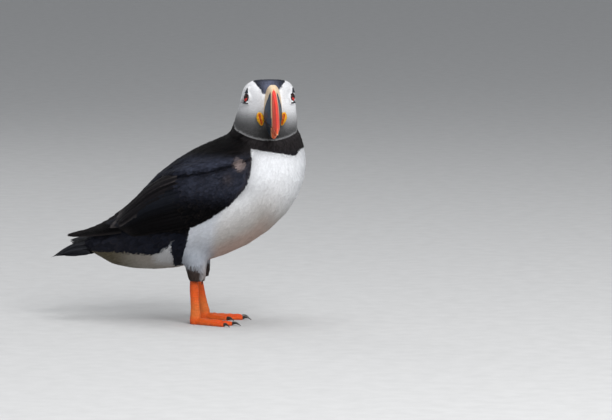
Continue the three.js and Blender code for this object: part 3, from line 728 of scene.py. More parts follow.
def black_parts(points, at):
    """The black plumage: back, rump and collar, painted light on the upper wing, painted shade on
    the nape and the lower and rear wing, painted shade in the furrow under the scapulars with a
    painted highlight on their ridge, and the worn brown wrist and edge of the wing."""
    x, z = at["x"], at["z"]
    black = np.repeat(BLACK_BACK[None], len(points), 0)
    # Painted light on the upper wing, where the light falls from above.
    black = over(black, LIT_WING_BLACK, zone(LIT_WING, at))
    black = over(black, BLACK_RUMP, zone(RUMP, at))
    black = over(black, BLACK_COLLAR, zone(COLLAR, at))
    # Painted shade on the nape under the head, on the wing's lower part and toward its rear.
    deep = 0.95 * zone(NAPE_SHADE, at) + 0.95 * zone(UNDER_WING_SHADE, at) + 0.5 * zone(WING_REAR_SHADE, at)
    black = over(black, SHADE_BLACK, np.clip(deep, 0, 1))
    # Painted shade in the furrow under the scapulars, and a painted highlight on their ridge.
    relief = 0.45 * zone(SCAPULAR_RIDGE_HIGHLIGHT, at) - 0.7 * zone(SCAPULAR_CREASE_SHADE, at)
    black = black * (1 + relief * zone(BESIDE_BODY, at))[:, None]
    on_wing_side = at["side"] > WING_SIDE
    ahead, above = x - WRIST[0], z - WRIST[1]
    wrist = (ahead / 4.4) ** 2 + ((above + 0.3 * ahead) / 4.6) ** 2
    wrist = bell(wrist + 0.35 * ripple(points, 2.5), 1) * on_wing_side
    black = over(black, WRIST_BROWN, 0.9 * wrist)
    smudge = bell(np.hypot(x - SMUDGE[0], z - SMUDGE[1]), 4.5) * on_wing_side
    rim = zone(WING_RIM, at) * on_wing_side * (z < 139) * (0.6 + 0.4 * ripple(points, 4.0))
    return over(black, BROWN_EDGE, 0.35 * smudge + 0.4 * rim * ramp(100, 112, z))


def face_parts(points, at, crisp):
    """The grey face, with painted light and shade, a painted highlight along its lower rim and the
    furrow behind each eye, and the black crown with a painted highlight down its front.
    """
    head = in_head(points)
    left, up = at["left"], at["up"]
    tone = np.interp(up, FACE_UP, FACE_GREY_AND_SHADE)
    # Painted light on the lower cheek of the head's left side.
    tone = mix(tone, 0.80, 0.22 * zone(LIT_CHEEK, at))
    for amount, place in FACE_LIGHT_AND_SHADE:
        tone = tone * (1 + amount * zone(place, at))
    # Painted highlight along the face's lower rim, where the cheek bulges over the collar.
    tone = mix(tone, 0.22, 0.8 * ramp(1.8, 0.7, up - face_floor(head)))
    for hand in HANDS:
        distance, fade = crease_distance(points, hand)
        tone = tone * (1 - 0.72 * fade * ramp(1.25, 0.35, distance))
    # Painted highlight down the middle of the crown's front.
    sheen = bell(left, 7.5) * ramp(-8, 8, at["forward"])
    crown = ramp(-0.6 * crisp, 0.6 * crisp, crown_depth(head) + 0.5 * at["jitter"])
    return over(tone[:, None] * FACE_TINT, over(BLACK_CROWN, CROWN_HIGHLIGHT, sheen), crown)


def markings(points, crisp=0.8):
    """The bird's colour at points of the bird frame, in linear RGB. The edges of the markings
    blend over crisp millimetres on each side."""
    at = measures(points)
    at["jitter"] = ripple(points, 3.1) * 0.3 + ripple(points, 7.3, 2.0) * 0.3
    dark = ramp(-crisp, crisp, dark_depth(points) + at["jitter"])
    body = over(white_parts(points, at), black_parts(points, at), dark)
    colour = np.where(on_head(points)[:, None], face_parts(points, at, crisp), body)
    for hand in HANDS:
        height, ahead, rise = near_eye(points, hand)
        close = np.abs(height) < 4
        eye = {"ahead": ahead, "rise": rise, "radius": np.hypot(ahead, rise)}
        # Painted shadow above the eye, in the plates' slate, carried down from the upper plate;
        # under the eye the slate joins the lower plate.
        colour = over(colour, LID_SLATE, zone(EYE_SHADOW_SLATE, eye) * close)
        colour = over(colour, LID_SLATE, zone(EYE_UNDER, eye) * close)
        # The lids' ring is red, with painted shadow over its upper part.
        red = over(LID_SHADOW, LID_RED, ramp(0.1, -0.6, rise))
        colour = over(colour, red, zone(LID_RING, eye) * close)
    return colour


# ---------- skin ----------
FLESH = ["trunk", "neck", "head", "wing_left", "wing_right", "thigh_left", "thigh_right"]
BODY_COAT = 1.5  # the coat's depth
FACE_COAT = 0.85
SKIN_GROW = 0.5
SKIN_VOXEL = 1.15
PLUG_RADIUS = 4.6  # a ball that fills the CAD head's hole behind each eye
FINE_RADIUS = 6.2  # the finer faces reach this far round an eye
FLANK_RUN = [("z", 38, 47), ("z", 86, 72), ("x", -38, -28), ("x", 36, 26), ("side", 6, 11)]
LID_CREST = 2.75  # radius of the lids' rim
LID_THICK = 0.2
LID_FLOOR = -0.75
LID_HEIGHT = 1.2
LID_WRINKLES = 17
SOCKET_FLOOR = -3.6
# Half length, half height and rise of the opening between the lids.
OPENING_LONG = 2.35
OPENING_HIGH = 1.85
OPENING_RISE = 0.5
PLATE_BED = 1.45  # how far the skin rises to carry the horn plates
PILLOW = 1.7  # the scapulars' swell, and the depth of the furrow under it
FURROW = 1.0


def coat_depth(points):
    """How deep the skin lies under the outer surface: least on the face, most on the body."""
    return mix(BODY_COAT, FACE_COAT, ramp(150, 162, points[:, 2]))


def finer(mesh):
    """Splits the faces round each eye and along its furrow, twice."""
    bm = bmesh.new()
    bm.from_mesh(mesh)
    for _ in range(2):
        bm.verts.ensure_lookup_table()
        at = bird_frame(np.array([vertex.co[:] for vertex in bm.verts]))
        close = np.zeros(len(at), bool)
        for hand in HANDS:
            height, ahead, rise = near_eye(at, hand)
            close |= (np.hypot(ahead, rise) < FINE_RADIUS) & (np.abs(height) < 6)
            distance, fade = crease_distance(at, hand)
            close |= (distance < 2.4) & (fade > 0.05)
        edges = [edge for edge in bm.edges
                 if close[edge.verts[0].index] and close[edge.verts[1].index]]
        bmesh.ops.subdivide_edges(bm, edges=edges, cuts=1, use_grid_fill=True)
    bmesh.ops.triangulate(bm, faces=[face for face in bm.faces if len(face.verts) > 4])
    bm.to_mesh(mesh)
    bm.free()


def lid_height(ahead, rise):
    """Height of the lids' wrinkled rim and the socket inside it, over the head's surface."""
    radius = np.hypot(ahead, rise)
    wrinkles = 1 + 0.15 * np.sin(np.arctan2(rise, ahead) * LID_WRINKLES)
    lid = LID_FLOOR + LID_HEIGHT * bell(radius - LID_CREST, 0.32) * wrinkles
    over_ball = np.sqrt(np.maximum(EYE_RADIUS ** 2 - radius ** 2, 0)) - EYE_SINK + LID_THICK
    lid = np.where(radius < LID_CREST + 0.2, np.maximum(lid, over_ball), lid)
    opening = np.hypot(ahead / OPENING_LONG, (rise - OPENING_RISE) / OPENING_HIGH)
    return mix(lid, SOCKET_FLOOR, ramp(1.0, 0.72, opening))


def make_skin():
    """One skin over the flesh, with furrows and the eyes' lids, sockets and beds of the plates."""
    plugs = [(centre - out * (PLUG_RADIUS - SKIN_GROW * 0.4), PLUG_RADIUS)
             for centre, out, _, _ in EYES.values()]
    mesh = remeshed("skin", FLESH, SKIN_GROW, SKIN_VOXEL, plugs)
    relaxed(mesh, 6)
    points = points_of(mesh)
    inward = (SKIN_GROW + coat_depth(points))[:, None]
    set_points(mesh, points - normals_of(mesh) * inward)
    relaxed(mesh, 2)

    # The flank runs down into the feathered leg without a step.
    points = points_of(mesh)
    relaxed(mesh, 30)
    set_points(mesh, over(points, points_of(mesh), zone(FLANK_RUN, measures(points))))

    finer(mesh)
    relaxed(mesh, 1, 0.3)
    points = points_of(mesh)
    normals = normals_of(mesh)
    for hand in HANDS:
        distance, fade = crease_distance(points, hand)
        groove = bell(distance, 1.1) - bell(distance - 2.6, 1.5) * 0.35
        points = points - normals * (groove * fade)[:, None]
    height, share = above_scapulars(points)
    swell = PILLOW * ramp(-0.6, 2.2, height) * ramp(24, 6, height)
    swell = swell - FURROW * bell(height + 1.3, 1.3)
    points = points + normals * (swell * share)[:, None]
    for hand in HANDS:
        out = EYES[hand][1]
        height, ahead, rise = near_eye(points, hand)
        share = ramp(5.6, 3.9, np.hypot(ahead, rise)) * (np.abs(height) < 6)
        points = points + (mix(height, lid_height(ahead, rise), share) - height)[:, None] * out
        points = points + PLATE_BED * under_plates(points, hand, 1.1)[:, None] * out
    set_points(mesh, points)
    return mesh


SKIN = make_skin()
SKIN_POINTS = points_of(SKIN)
add_colours(SKIN, markings(SKIN_POINTS))
show(SKIN, skin_look(), "white_plumage", *FLESH)

# The skin's triangles; a face with four corners is two of them.
TRIANGLES = np.array([corner for polygon in SKIN.polygons for corner in (
    [polygon.vertices[:3]] if len(polygon.vertices) == 3
    else [polygon.vertices[:3], (polygon.vertices[0], *polygon.vertices[2:4])])])
SKIN_TREE = BVHTree.FromPolygons(SKIN_POINTS.tolist(), TRIANGLES.tolist())


# ---------- lie of the coat ----------
# The body's middle line in the side view, from the throat to the root of the tail.
SPINE = [[61, 176], [62, 160], [61, 148], [60, 136], [52, 123], [36, 110], [12, 97],
         [-19, 86], [-45, 74], [-69, 64], [-100, 61]]
# The folded wing's lower and upper edges in the side view, from the wrist to the tip.
WING_LOWER = [[58.5, 132], [54, 114], [38, 97], [12, 83.5], [-26, 75], [-62, 69], [-108.5, 67.8]]
WING_UPPER = [[58.5, 143], [49, 143.5], [28, 138.5], [0, 130], [-30, 116], [-66, 87],
              [-109, 70.2]]
WING_FRONT = 58  # no place of the wing lies farther forward
LEG_FLOW = [("z", 88, 56), ("x", -26, -14), ("x", 32, 16), ("side", 6, 13)]
BILL_ROOT_IN_HEAD = np.array([17, 0, -8])  # the face's feathers point away from here,
GAPE_IN_HEAD = np.array([14, 0, -8])  # and get longer with the distance from here
BATCH = 4000  # places looked up at a time


def through(stations, share):
    """Smooth curve through the stations, for shares from 0 to 1 of their count."""
    stations = np.asarray(stations, float)
    last = len(stations) - 1
    at = np.clip(share, 0, 1) * last
    index = np.minimum(at.astype(int), last - 1)
    t = (at - index)[..., None]
    p0 = stations[np.maximum(index - 1, 0)]
    p1, p2 = stations[index], stations[index + 1]
    p3 = stations[np.minimum(index + 2, last)]
    return 0.5 * (2 * p1 + (p2 - p0) * t + (2 * p0 - 5 * p1 + 4 * p2 - p3) * t ** 2
                  + (3 * p1 - p0 - 3 * p2 + p3) * t ** 3)


def nearest_index(samples, places):
    """Index of the sample nearest each place of the side view."""
    batches = [places[start:start + BATCH, None] for start in range(0, len(places), BATCH)]
    return np.concatenate([((batch - samples[None]) ** 2).sum(2).argmin(1) for batch in batches])


def spine_flow(places):
    """The lie of the body's feathers, along its middle line."""
    samples = through(SPINE, np.linspace(0, 1, 120))
    return unit(np.gradient(samples, axis=0))[nearest_index(samples, places)]


def wing_flow(places):
    """The lie of the wing's coverts, between its lower and upper edges."""
    shares = np.linspace(0, 1, 60)
    low, high = through(WING_LOWER, shares), through(WING_UPPER, shares)
    samples = np.array([mix(low, high, level) for level in np.linspace(0, 1, 12)])
    directions = unit(np.gradient(samples, axis=1)).reshape(-1, 2)
    return directions[nearest_index(samples.reshape(-1, 2), places)]


def on_wing(points):
    x, y, z = points.T
    inside = (z > np.interp(x, WING_UNDER_X, WING_UNDER_Z) - 1) & (x < WING_FRONT)
    top = np.interp(x, *np.array(WING_UPPER[::-1]).T)
    return inside & (np.abs(y) > 20) & (z < top + 2)


def coat_flow(points):
    """Direction in which the feathers lie, before it is flattened to the surface."""
    places = points[:, [0, 2]]
    at = measures(points)
    body = np.zeros_like(points)
    body[:, [0, 2]] = np.where(on_wing(points)[:, None], wing_flow(places), spine_flow(places))
    down = np.stack([mix(-0.12, -0.5, ramp(46, 80, at["z"])), 0 * at["z"], 0 * at["z"] - 1], 1)
    body = over(body, down, zone(LEG_FLOW, at))
    head = in_head(points)
    away = unit(head - BILL_ROOT_IN_HEAD) + np.array([-0.35, 0, -0.25])
    within = np.hypot(head[:, 0] + HEAD_BACK, head[:, 1]) < HEAD_RADIUS + 2
    share = ramp(-40, -30, head[:, 2]) * within
    return over(body, unit(away) @ HEAD_AXES, share)


# ---------- feathers ----------
PATCH = 0.003  # size of each feather's patch on the OFBake map
MAP_MARGIN = 0.01
# Feathers stay this far from an eye, a rosette's middle and the sides of the bill's base.
EYE_CLEAR = 4.1
ROSETTE_CLEAR = 4.6
BILL_BASE_X = -9
BILL_BASE_SIDE = 7.2
BILL_BASE_BOTTOM = -12.8
BILL_BASE_TOP = 27
TAIL_HIDES = -78  # behind this place the tail covers the body
SHANK_TOP = 40  # under this height feathers don't grow on faces that look down
SOCK_BOTTOM = 32.4  # and none ends under this height
STEPS = np.array([0, 0.3, 0.58, 0.8, 0.92])  # a coat feather's rows, along its length
PROFILE = np.array([0.42, 0.86, 1.0, 0.9, 0.66])  # its half width at each row
CROWDING = 4.5  # places tried for each feather
FACE_REACH = [8, 16, 30, 45]  # distances from the gape
FACE_LENGTH = [1.8, 2.4, 3.2, 3.8]  # and the feathers' lengths there
LEG_COAT = [("z", 62, 44), ("x", -20, -10), ("x", 24, 14)]
DARK_TONE = 0.08  # tints under this belong to black feathers, which wear brown at the edge
NEIGHBOURS = [(i, j, k) for i in (-1, 0, 1) for j in (-1, 0, 1) for k in (-1, 0, 1)]


def vane_cells(rows, wide):
    """Triangles of one vane: a grid of points, and a barb tip past each cell of its last row."""
    cells = []
    for row in range(rows - 1):
        for a in range(row * wide, row * wide + wide - 1):
            cells += [(a, a + wide + 1, a + 1), (a, a + wide, a + wide + 1)]
    last = (rows - 1) * wide
    cells += [(last + k, last + wide + k, last + k + 1) for k in range(wide - 1)]
    return np.array(cells)


def fitted(places):
    """Places of the unwrap stretched to fill the map, with a margin for the patches."""
    low, high = places.min(0), places.max(0)
    return MAP_MARGIN + (1 - 2 * MAP_MARGIN) * (places - low) / np.maximum(high - low, 1e-6)


class Coat:
    """Joined feather vanes of one region. Every vane is a small grid with a fringed tip."""

    def __init__(self):
        self.parts = {}
        self.count = 0

    def add(self, centres, normals, forwards, half_widths, heights, tints, roots, edge,
            edge_share, columns=4, cup=0.12, fringe=1.48):
        """centres, normals and forwards are (feather, row, 3); half_widths and heights are
        (feather, row); tints are (feather, 3); roots are the places on the unwrap. The edge is
        a colour laid over the rim, and the fringe is the barb tips' reach past the last row."""
        number, rows = centres.shape[:2]
        wide = columns + 1
        total = rows * wide + columns
        across = np.linspace(-1, 1, wide)
        sides = np.cross(normals, forwards)
        widths = half_widths[:, :, None] * across
        lifts = heights[:, :, None] - cup * widths ** 2 / (half_widths.max() + 0.01)
        grid = (centres[:, :, None] + sides[:, :, None] * widths[..., None]
                + normals[:, :, None] * lifts[..., None])
        # The last row ends in barb tips, set back toward both edges.
        middle = (across[1:] + across[:-1]) / 2
        length = np.linalg.norm(centres[:, -1] - centres[:, -2], axis=1)
        reach = length[:, None] * (1 - 0.75 * middle ** 2)
        reach = reach * RANDOM.uniform(0.45, 1.0, reach.shape) * fringe
        base = (grid[:, -1, 1:] + grid[:, -1, :-1]) / 2
        tips = base + forwards[:, -1, None] * reach[..., None]
        tips = tips - sides[:, -1, None] * (middle * half_widths[:, -1, None] * 0.15)[..., None]

        # Places on each vane: along it, across it, and the share of its length and half width.
        gone = np.linalg.norm(np.diff(centres, axis=1), axis=2)
        gone = np.cumsum(np.pad(gone, ((0, 0), (1, 0))), axis=1)
        along = np.concatenate([np.repeat(gone, wide, 1), gone[:, -1:] + reach], 1)
        side = np.concatenate([widths.reshape(number, -1), middle * half_widths[:, -1:]], 1)
        tone = np.repeat(RANDOM.uniform(0, 1, number)[:, None], total, 1)
        ratio = np.concatenate([np.tile(across, rows), middle])
        reached = np.concatenate([np.repeat(np.linspace(0, 1, rows), wide), np.ones(columns)])
        rim = np.maximum(ramp(0.45, 1.0, np.abs(ratio)), ramp(0.86, 1.0, reached) * 0.8)
        amount = rim[None, :, None] * np.broadcast_to(edge_share, (number,))[:, None, None]
        cells = vane_cells(rows, wide)
        patch = np.stack([ratio * PATCH / 2, (reached - 0.5) * PATCH], 1)

        made = {
            "points": np.concatenate([grid.reshape(number, -1, 3), tips], 1),
            "faces": cells[None] + (np.arange(number) * total)[:, None, None] + self.count,
            "tint": mix(np.repeat(tints[:, None], total, 1), edge, amount),
            "vane": np.stack([along, side, tone], 2),
            "out": np.concatenate([np.repeat(normals, wide, 1),
                                   np.repeat(normals[:, -1:], columns, 1)], 1),
            "root": np.repeat(roots, total, 0),
            "patch": np.tile(patch, (number, 1)),
        }
        for key, part in made.items():
            self.parts.setdefault(key, []).append(part.reshape(-1, part.shape[-1]))
        self.count += number * total

    def build(self, name, material, slot, replaced, softness):
        """One piece from all vanes. Softness leans their shading toward the smooth skin's."""
        whole = {key: np.concatenate(parts) for key, parts in self.parts.items()}
        faces = whole["faces"]
        mesh = mesh_from(name, whole["points"], faces.tolist())
        add_colours(mesh, whole["tint"])
        add_vectors(mesh, "vane", whole["vane"])
        places = fitted(whole["root"]) + whole["patch"]
        layer = mesh.uv_layers.new(name="OFBake")
        layer.uv.foreach_set("vector", places[faces.ravel()].astype(np.float32).ravel())
        show(mesh, material, slot, *replaced)
        shading = unit(mix(normals_of(mesh), whole["out"], softness))
        mesh.normals_split_custom_set_from_vertices(shading.tolist())
        print(name, len(faces), "triangles")


def nearest_skin(points):
    """Nearest points of the skin, and the smooth direction out of it there."""
    places, outs = np.zeros_like(points), np.zeros_like(points)
    for index, point in enumerate(points):
        places[index], outs[index] = SKIN_TREE.find_nearest(point)[:2]
    return places, outs


def laid(roots, directions, lengths, turn=0.12):
    """Rows of each feather, walked over the skin from its root along the lie of the coat. The
    feathers are turned from it at random, by about turn radians."""
    places, outs = nearest_skin(roots)
    heading = flattened(directions, outs)
    angle = RANDOM.normal(0, turn, len(roots))[:, None]
    heading = unit(heading * np.cos(angle) + np.cross(outs, heading) * np.sin(angle))
    centres, normals, forwards = [places], [outs], [heading]
    for step in np.diff(STEPS):
        ahead = centres[-1] + heading * (step * lengths)[:, None]
        place, out = nearest_skin(ahead)
        # On a sharp rim the nearest point falls back, so the vane runs straight on instead.
        fallen = np.linalg.norm(place - ahead, axis=1) > 0.45 * step * lengths + 0.8
        place = np.where(fallen[:, None], ahead, place)
        out = np.where(fallen[:, None], normals[-1], unit(out + normals[-1] * 0.6))
        heading = flattened(heading, out)
        centres.append(place)
        normals.append(out)
        forwards.append(heading)
    return np.stack(centres, 1), np.stack(normals, 1), np.stack(forwards, 1)


def crowded(grid, key, point, limit):
    """Whether a point of the grid lies nearer than the distance whose square is the limit."""
    px, py, pz = point
    for i, j, k in NEIGHBOURS:
        for qx, qy, qz in grid.get((key[0] + i, key[1] + j, key[2] + k), ()):
            if (px - qx) ** 2 + (py - qy) ** 2 + (pz - qz) ** 2 < limit:
                return True
    return False


def scattered(spacing, wanted):
    """Points of the skin at least spacing(point) apart, on the faces where wanted(point)."""
    corners = SKIN_POINTS[TRIANGLES]
    first, second = corners[:, 1] - corners[:, 0], corners[:, 2] - corners[:, 0]
    area = np.linalg.norm(np.cross(first, second), axis=1) / 2
    centre = corners.mean(1)
    gap = spacing(centre)
    weight = area / gap ** 2 * wanted(centre)
    total = int(weight.sum() * CROWDING)
    chosen = RANDOM.choice(len(area), total, p=weight / weight.sum())
    a, b = RANDOM.uniform(0, 1, (2, total))
    flip = a + b > 1
    a, b = np.where(flip, 1 - a, a)[:, None], np.where(flip, 1 - b, b)[:, None]
    points = corners[chosen, 0] + a * first[chosen] + b * second[chosen]
    limits = gap[chosen] ** 2
    keys = np.floor(points / gap[chosen].max()).astype(int)
    kept, grid = [], {}
    tried = zip(map(tuple, keys.tolist()), points.tolist(), limits.tolist())
    for index, (key, point, limit) in enumerate(tried):
        if not crowded(grid, key, point, limit):
            grid.setdefault(key, []).append(point)
            kept.append(index)
    return points[kept]


def feather_size(points):
    """Length, width and standing depth of the coat's feathers, smallest on the face."""
    x, y, z = points.T
    head = in_head(points)
    headed = on_head(points)
    inside = dark_depth(points)
    from_gape = np.linalg.norm(head - GAPE_IN_HEAD, axis=1)
    face = np.interp(from_gape, FACE_REACH, FACE_LENGTH)
    face = face * mix(0.5, 1.0, ramp(0.0, 5.0, head[:, 2] - face_floor(head)))
    collar = ramp(129, 142, z)
    pale = mix(5.9, 7.6, ramp(50, -30, x))
    dark = mix(8.8, 12.4, ramp(30, -40, x))
    body = mix(np.where(inside > 0, dark, pale), 4.6, collar)
    # Short at the markings' edges, on the wing's coverts and down the leg.
    body = body * mix(0.40, 1.0, ramp(0.0, 7.0, np.abs(inside)))
    coverts = mix(8.5, 5.0, ramp(10, 45, x))
    body = np.where(on_wing(points), np.minimum(body, coverts), body)
    legs = zone(LEG_COAT, {"x": x, "z": z}) * (np.abs(y) > LEG_INNER)
    body = mix(body, 7.6, legs)
    length = np.where(headed, face, body)
    width = np.where(headed, length * 0.36, mix(length * 0.285, 1.2, legs))
    width = np.where((inside > 0) & ~headed & (z < 140), length * 0.34, width)
    depth = np.where(headed, 0.6, np.where(inside > 0, 1.05, mix(0.95, 0.85, collar)))
    return length, width, depth


def coat_spacing(points):
    return feather_size(points)[1] * np.where(on_head(points), 0.70, 0.64)


def unwrapped(points):
    """Places on the unwrapped body: round it, and along it from the bill to the tail."""
    shares = np.linspace(0, 1, 160)
    samples = through(SPINE, shares)
    places = points[:, [0, 2]]
    nearest = nearest_index(samples, places)
    tangent = unit(np.gradient(samples, axis=0))[nearest]
    offset = places - samples[nearest]
    rise = offset[:, 0] * tangent[:, 1] + offset[:, 1] * tangent[:, 0]
    return np.stack([np.arctan2(points[:, 1], rise) / math.pi, shares[nearest]], 1)


def unwrapped_head(points):
    """The head unwrapped round the bill: its distance from the bill becomes the radius."""
    head = unit(in_head(points) - np.array([-6, -HEAD_SHIFT, -10]))
    angle = np.arccos(np.clip(head[:, :1], -1, 1)) / math.pi
    return angle * unit(head[:, 1:])


def clear_of_face_parts(centres):
    """True for feathers that wouldn't lie across an eye, its plates, a rosette or the bill."""
    good = np.ones(len(centres), bool)
    for hand in HANDS:
        height, ahead, rise = near_eye(centres, hand)
        covers = (np.hypot(ahead, rise) < EYE_CLEAR) & (np.abs(height) < EYE_REACH)
        covers |= under_plates(centres, hand, 0.5) >= 0.3
        rosette = node_box("rosette_" + hand)[2]
        beside = np.linalg.norm(centres[:, -1] - rosette, axis=1) > ROSETTE_CLEAR
        good &= ~covers.any(1) & beside
    ahead, left, up = ((centres[:, 0] - BILL_CENTRE) @ BILL_AXES.T).T
    under_bill = (ahead > BILL_BASE_X) & (np.abs(left) < BILL_BASE_SIDE)
    return good & ~(under_bill & (up > BILL_BASE_BOTTOM) & (up < BILL_BASE_TOP))


def clear_of_ends(centres, normals):
    """True for feathers that don't stick out where the tail or a shank goes into the body."""
    ends = centres[:, -1]
    off_skin = np.linalg.norm(ends - nearest_skin(ends)[0], axis=1) > 1.0
    over_tail = off_skin & (ends[:, 0] < TAIL_HIDES)
    looks_down = (normals[:, 0, 2] <= -0.75) & (centres[:, 0, 2] <= SHANK_TOP)
    return ~over_tail & ~looks_down & (ends[:, 2] > SOCK_BOTTOM)


def grow_coat(name, wanted, material, slot, unwrap, softness, columns=4, stand=(0.75, 1.15)):
    """Feathers over the part of the skin where wanted(points) is true."""
    roots = scattered(coat_spacing, wanted)
    length, width, depth = feather_size(roots)
    length = length * RANDOM.uniform(0.85, 1.15, len(roots))
    centres, normals, forwards = laid(roots, coat_flow(roots), length)
    good = clear_of_face_parts(centres) & clear_of_ends(centres, normals)
    centres, normals, forwards = centres[good], normals[good], forwards[good]
    roots, width, depth = roots[good], width[good, None], depth[good, None]
    number = len(roots)
    half_widths = width / 2 * PROFILE * RANDOM.uniform(0.9, 1.1, (number, 1))
    heights = -0.12 + depth * RANDOM.uniform(*stand, (number, 1)) * STEPS ** 1.15
    tints = markings(centres[:, -2], 0.4)
    dark = tints.mean(1) < DARK_TONE
    edge_share = np.where(dark, RANDOM.uniform(0.0, 0.16, number) ** 1.5 * 2.5, 0.0)
    tints = tints * np.where(dark, RANDOM.uniform(0.84, 1.2, number), 1.0)[:, None]
    coat = Coat()
    coat.add(centres, normals, forwards, half_widths, heights, tints, unwrap(roots), BROWN_EDGE,
             edge_share, columns=columns)
    coat.build(name, material, slot, (), softness)


def face_region(points):
    return on_head(points) & (crown_depth(in_head(points)) < 0)


def crown_region(points):
    return on_head(points) & ~face_region(points)


def pale_region(points):
    return ~on_head(points) & (dark_depth(points) <= 0)


def dark_region(points):
    """The black parts, without the wing where its flight feathers cover it."""
    covered = on_wing(points) & (points[:, 0] < -16 + 3 * ripple(points, 9))
    return ~on_head(points) & (dark_depth(points) > 0) & ~covered


for hand, sign in HANDS.items():
    grow_coat("face_feathers_" + hand,
              lambda p: face_region(p) & ((in_head(p)[:, 1] + HEAD_SHIFT) * sign >= 0),
              PALE_FEATHERS, "face_plumage", unwrapped_head, 0.85, 3, (0.85, 1.1))
    grow_coat("pale_feathers_" + hand, lambda p: pale_region(p) & (p[:, 1] * sign >= 0),
              PALE_FEATHERS, "white_plumage", unwrapped, 0.88, 3, (0.9, 1.1))
    grow_coat("dark_feathers_" + hand, lambda p: dark_region(p) & (p[:, 1] * sign >= 0),
              DARK_FEATHERS, "black_plumage", unwrapped, 0.68)
grow_coat("crown_feathers", crown_region, DARK_FEATHERS, "black_plumage", unwrapped_head, 0.75)


# ---------- flight feathers ----------
OUTER = ("trunk", "neck", "wing_left", "wing_right", "primaries_left", "primaries_right")
GRID_STEP = 1.5
GRID_X = np.arange(-124, 64, GRID_STEP)
GRID_Z = np.arange(56, 152, GRID_STEP)
FALL = 0.4  # how much the flank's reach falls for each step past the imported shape's edge
LONG_STEPS = np.linspace(0, 1, 15)
LONG_PROFILE = np.interp(LONG_STEPS, [0, 0.15, 0.5, 0.8, 0.93, 1.0],
                         [0.45, 0.8, 1.0, 0.92, 0.62, 0.3])
ROOT_SINK = 1.3  # how deep the roots of the long feathers lie under the coverts
FLIGHT_BROWN = np.array([0.0017, 0.0015, 0.0018])
FLIGHT_EDGE = np.array([0.070, 0.060, 0.060])
TERTIAL_EDGE = np.array([0.20, 0.18, 0.18])
SECONDARY_BLUE = np.array([0.0060, 0.0072, 0.0105])
PRIMARY_COUNT = 9
SECONDARY_COUNT = 12
TERTIAL_COUNT = 5


def outer_tree():
    """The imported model's outer shape beside the body, for the long feathers to lie on."""
    points, faces, count = [], [], 0
    for name in OUTER:
        mesh = frame["nodes"][name].data
        mesh.calc_loop_triangles()
        points.append(points_of(mesh))
        faces.append(read_rows(mesh.loop_triangles, "vertices", 3, np.int64) + count)
        count += len(points[-1])
    return BVHTree.FromPolygons(np.concatenate(points).tolist(), np.concatenate(faces).tolist())


def beside(grid, **padding):
    """The grid's four neighbours of each cell."""
    padded = np.pad(grid, 1, **padding)
    return np.stack([padded[:-2, 1:-1], padded[2:, 1:-1], padded[1:-1, :-2], padded[1:-1, 2:]])


def flank_grid(sign, tree):
    """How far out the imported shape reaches, over a grid of the side view."""
    reach = np.full((len(GRID_X), len(GRID_Z)), np.nan)
    for i, x in enumerate(GRID_X):
        for j, z in enumerate(GRID_Z):
            hit = tree.ray_cast(Vector((x, sign * 90, z)), Vector((0, -sign, 0)))[0]
            if hit is not None:
                reach[i, j] = abs(hit.y)
    for _ in range(70):
        around = beside(reach, constant_values=np.nan)
        known = ~np.isnan(around)
        middle = np.where(known, around, 0).sum(0) / np.maximum(known.sum(0), 1)
        empty = np.isnan(reach) & known.any(0)
        reach[empty] = middle[empty] - FALL
    for _ in range(3):
        reach = (beside(reach, mode="edge").sum(0) + 2 * reach) / 6
    return np.maximum(reach, 1.0)


TREE = outer_tree()
FLANKS = {hand: flank_grid(sign, TREE) for hand, sign in HANDS.items()}


def flank_reach(grid, x, z):
    """The grid's value between its four nearest cells."""
    i = np.clip((x - GRID_X[0]) / GRID_STEP, 0, len(GRID_X) - 1.001)
    j = np.clip((z - GRID_Z[0]) / GRID_STEP, 0, len(GRID_Z) - 1.001)
    a, b = i.astype(int), j.astype(int)
    u, v = i - a, j - b
    return ((grid[a, b] * (1 - u) + grid[a + 1, b] * u) * (1 - v)
            + (grid[a, b + 1] * (1 - u) + grid[a + 1, b + 1] * u) * v)


def on_flank(hand, places):
    """Points and outward directions on one flank, from places in the side view."""
    grid, sign = FLANKS[hand], HANDS[hand]
    x, z = places[..., 0], places[..., 1]
    step = 2.0
    slope_x = (flank_reach(grid, x + step, z) - flank_reach(grid, x - step, z)) / (2 * step)
    slope_z = (flank_reach(grid, x, z + step) - flank_reach(grid, x, z - step)) / (2 * step)
    points = np.stack([x, sign * flank_reach(grid, x, z), z], -1)
    return points, unit(np.stack([-slope_x, np.full_like(x, sign), -slope_z], -1))


def fanned(count, first, step):
    """Rows of values that change by the same step from feather to feather."""
    return np.array(first) + np.arange(count)[:, None] * np.array(step)


def long_feathers(coat, hand, starts, ends, width, lift, colour, edge, edge_share):
    """Flight feathers from starts to ends, as (along, level) on the folded wing: along runs
    from the wrist to the tip, and level from the lower to the upper edge."""
    route = mix(starts[:, None], ends[:, None], LONG_STEPS[None, :, None])
    low, high = through(WING_LOWER, route[..., 0]), through(WING_UPPER, route[..., 0])
    points, normals = on_flank(hand, mix(low, high, route[..., 1:]))
    forwards = flattened(unit(np.gradient(points, axis=1)), normals)
    heights = lift + mix(-ROOT_SINK, 0, ramp(0, 0.3, LONG_STEPS))
    tints = colour * RANDOM.uniform(0.85, 1.2, (len(starts), 1))
    coat.add(points, normals, forwards, width / 2 * LONG_PROFILE, heights, tints,
             points[:, 0, [0, 2]], edge, edge_share, columns=6, cup=0.3, fringe=0.4)


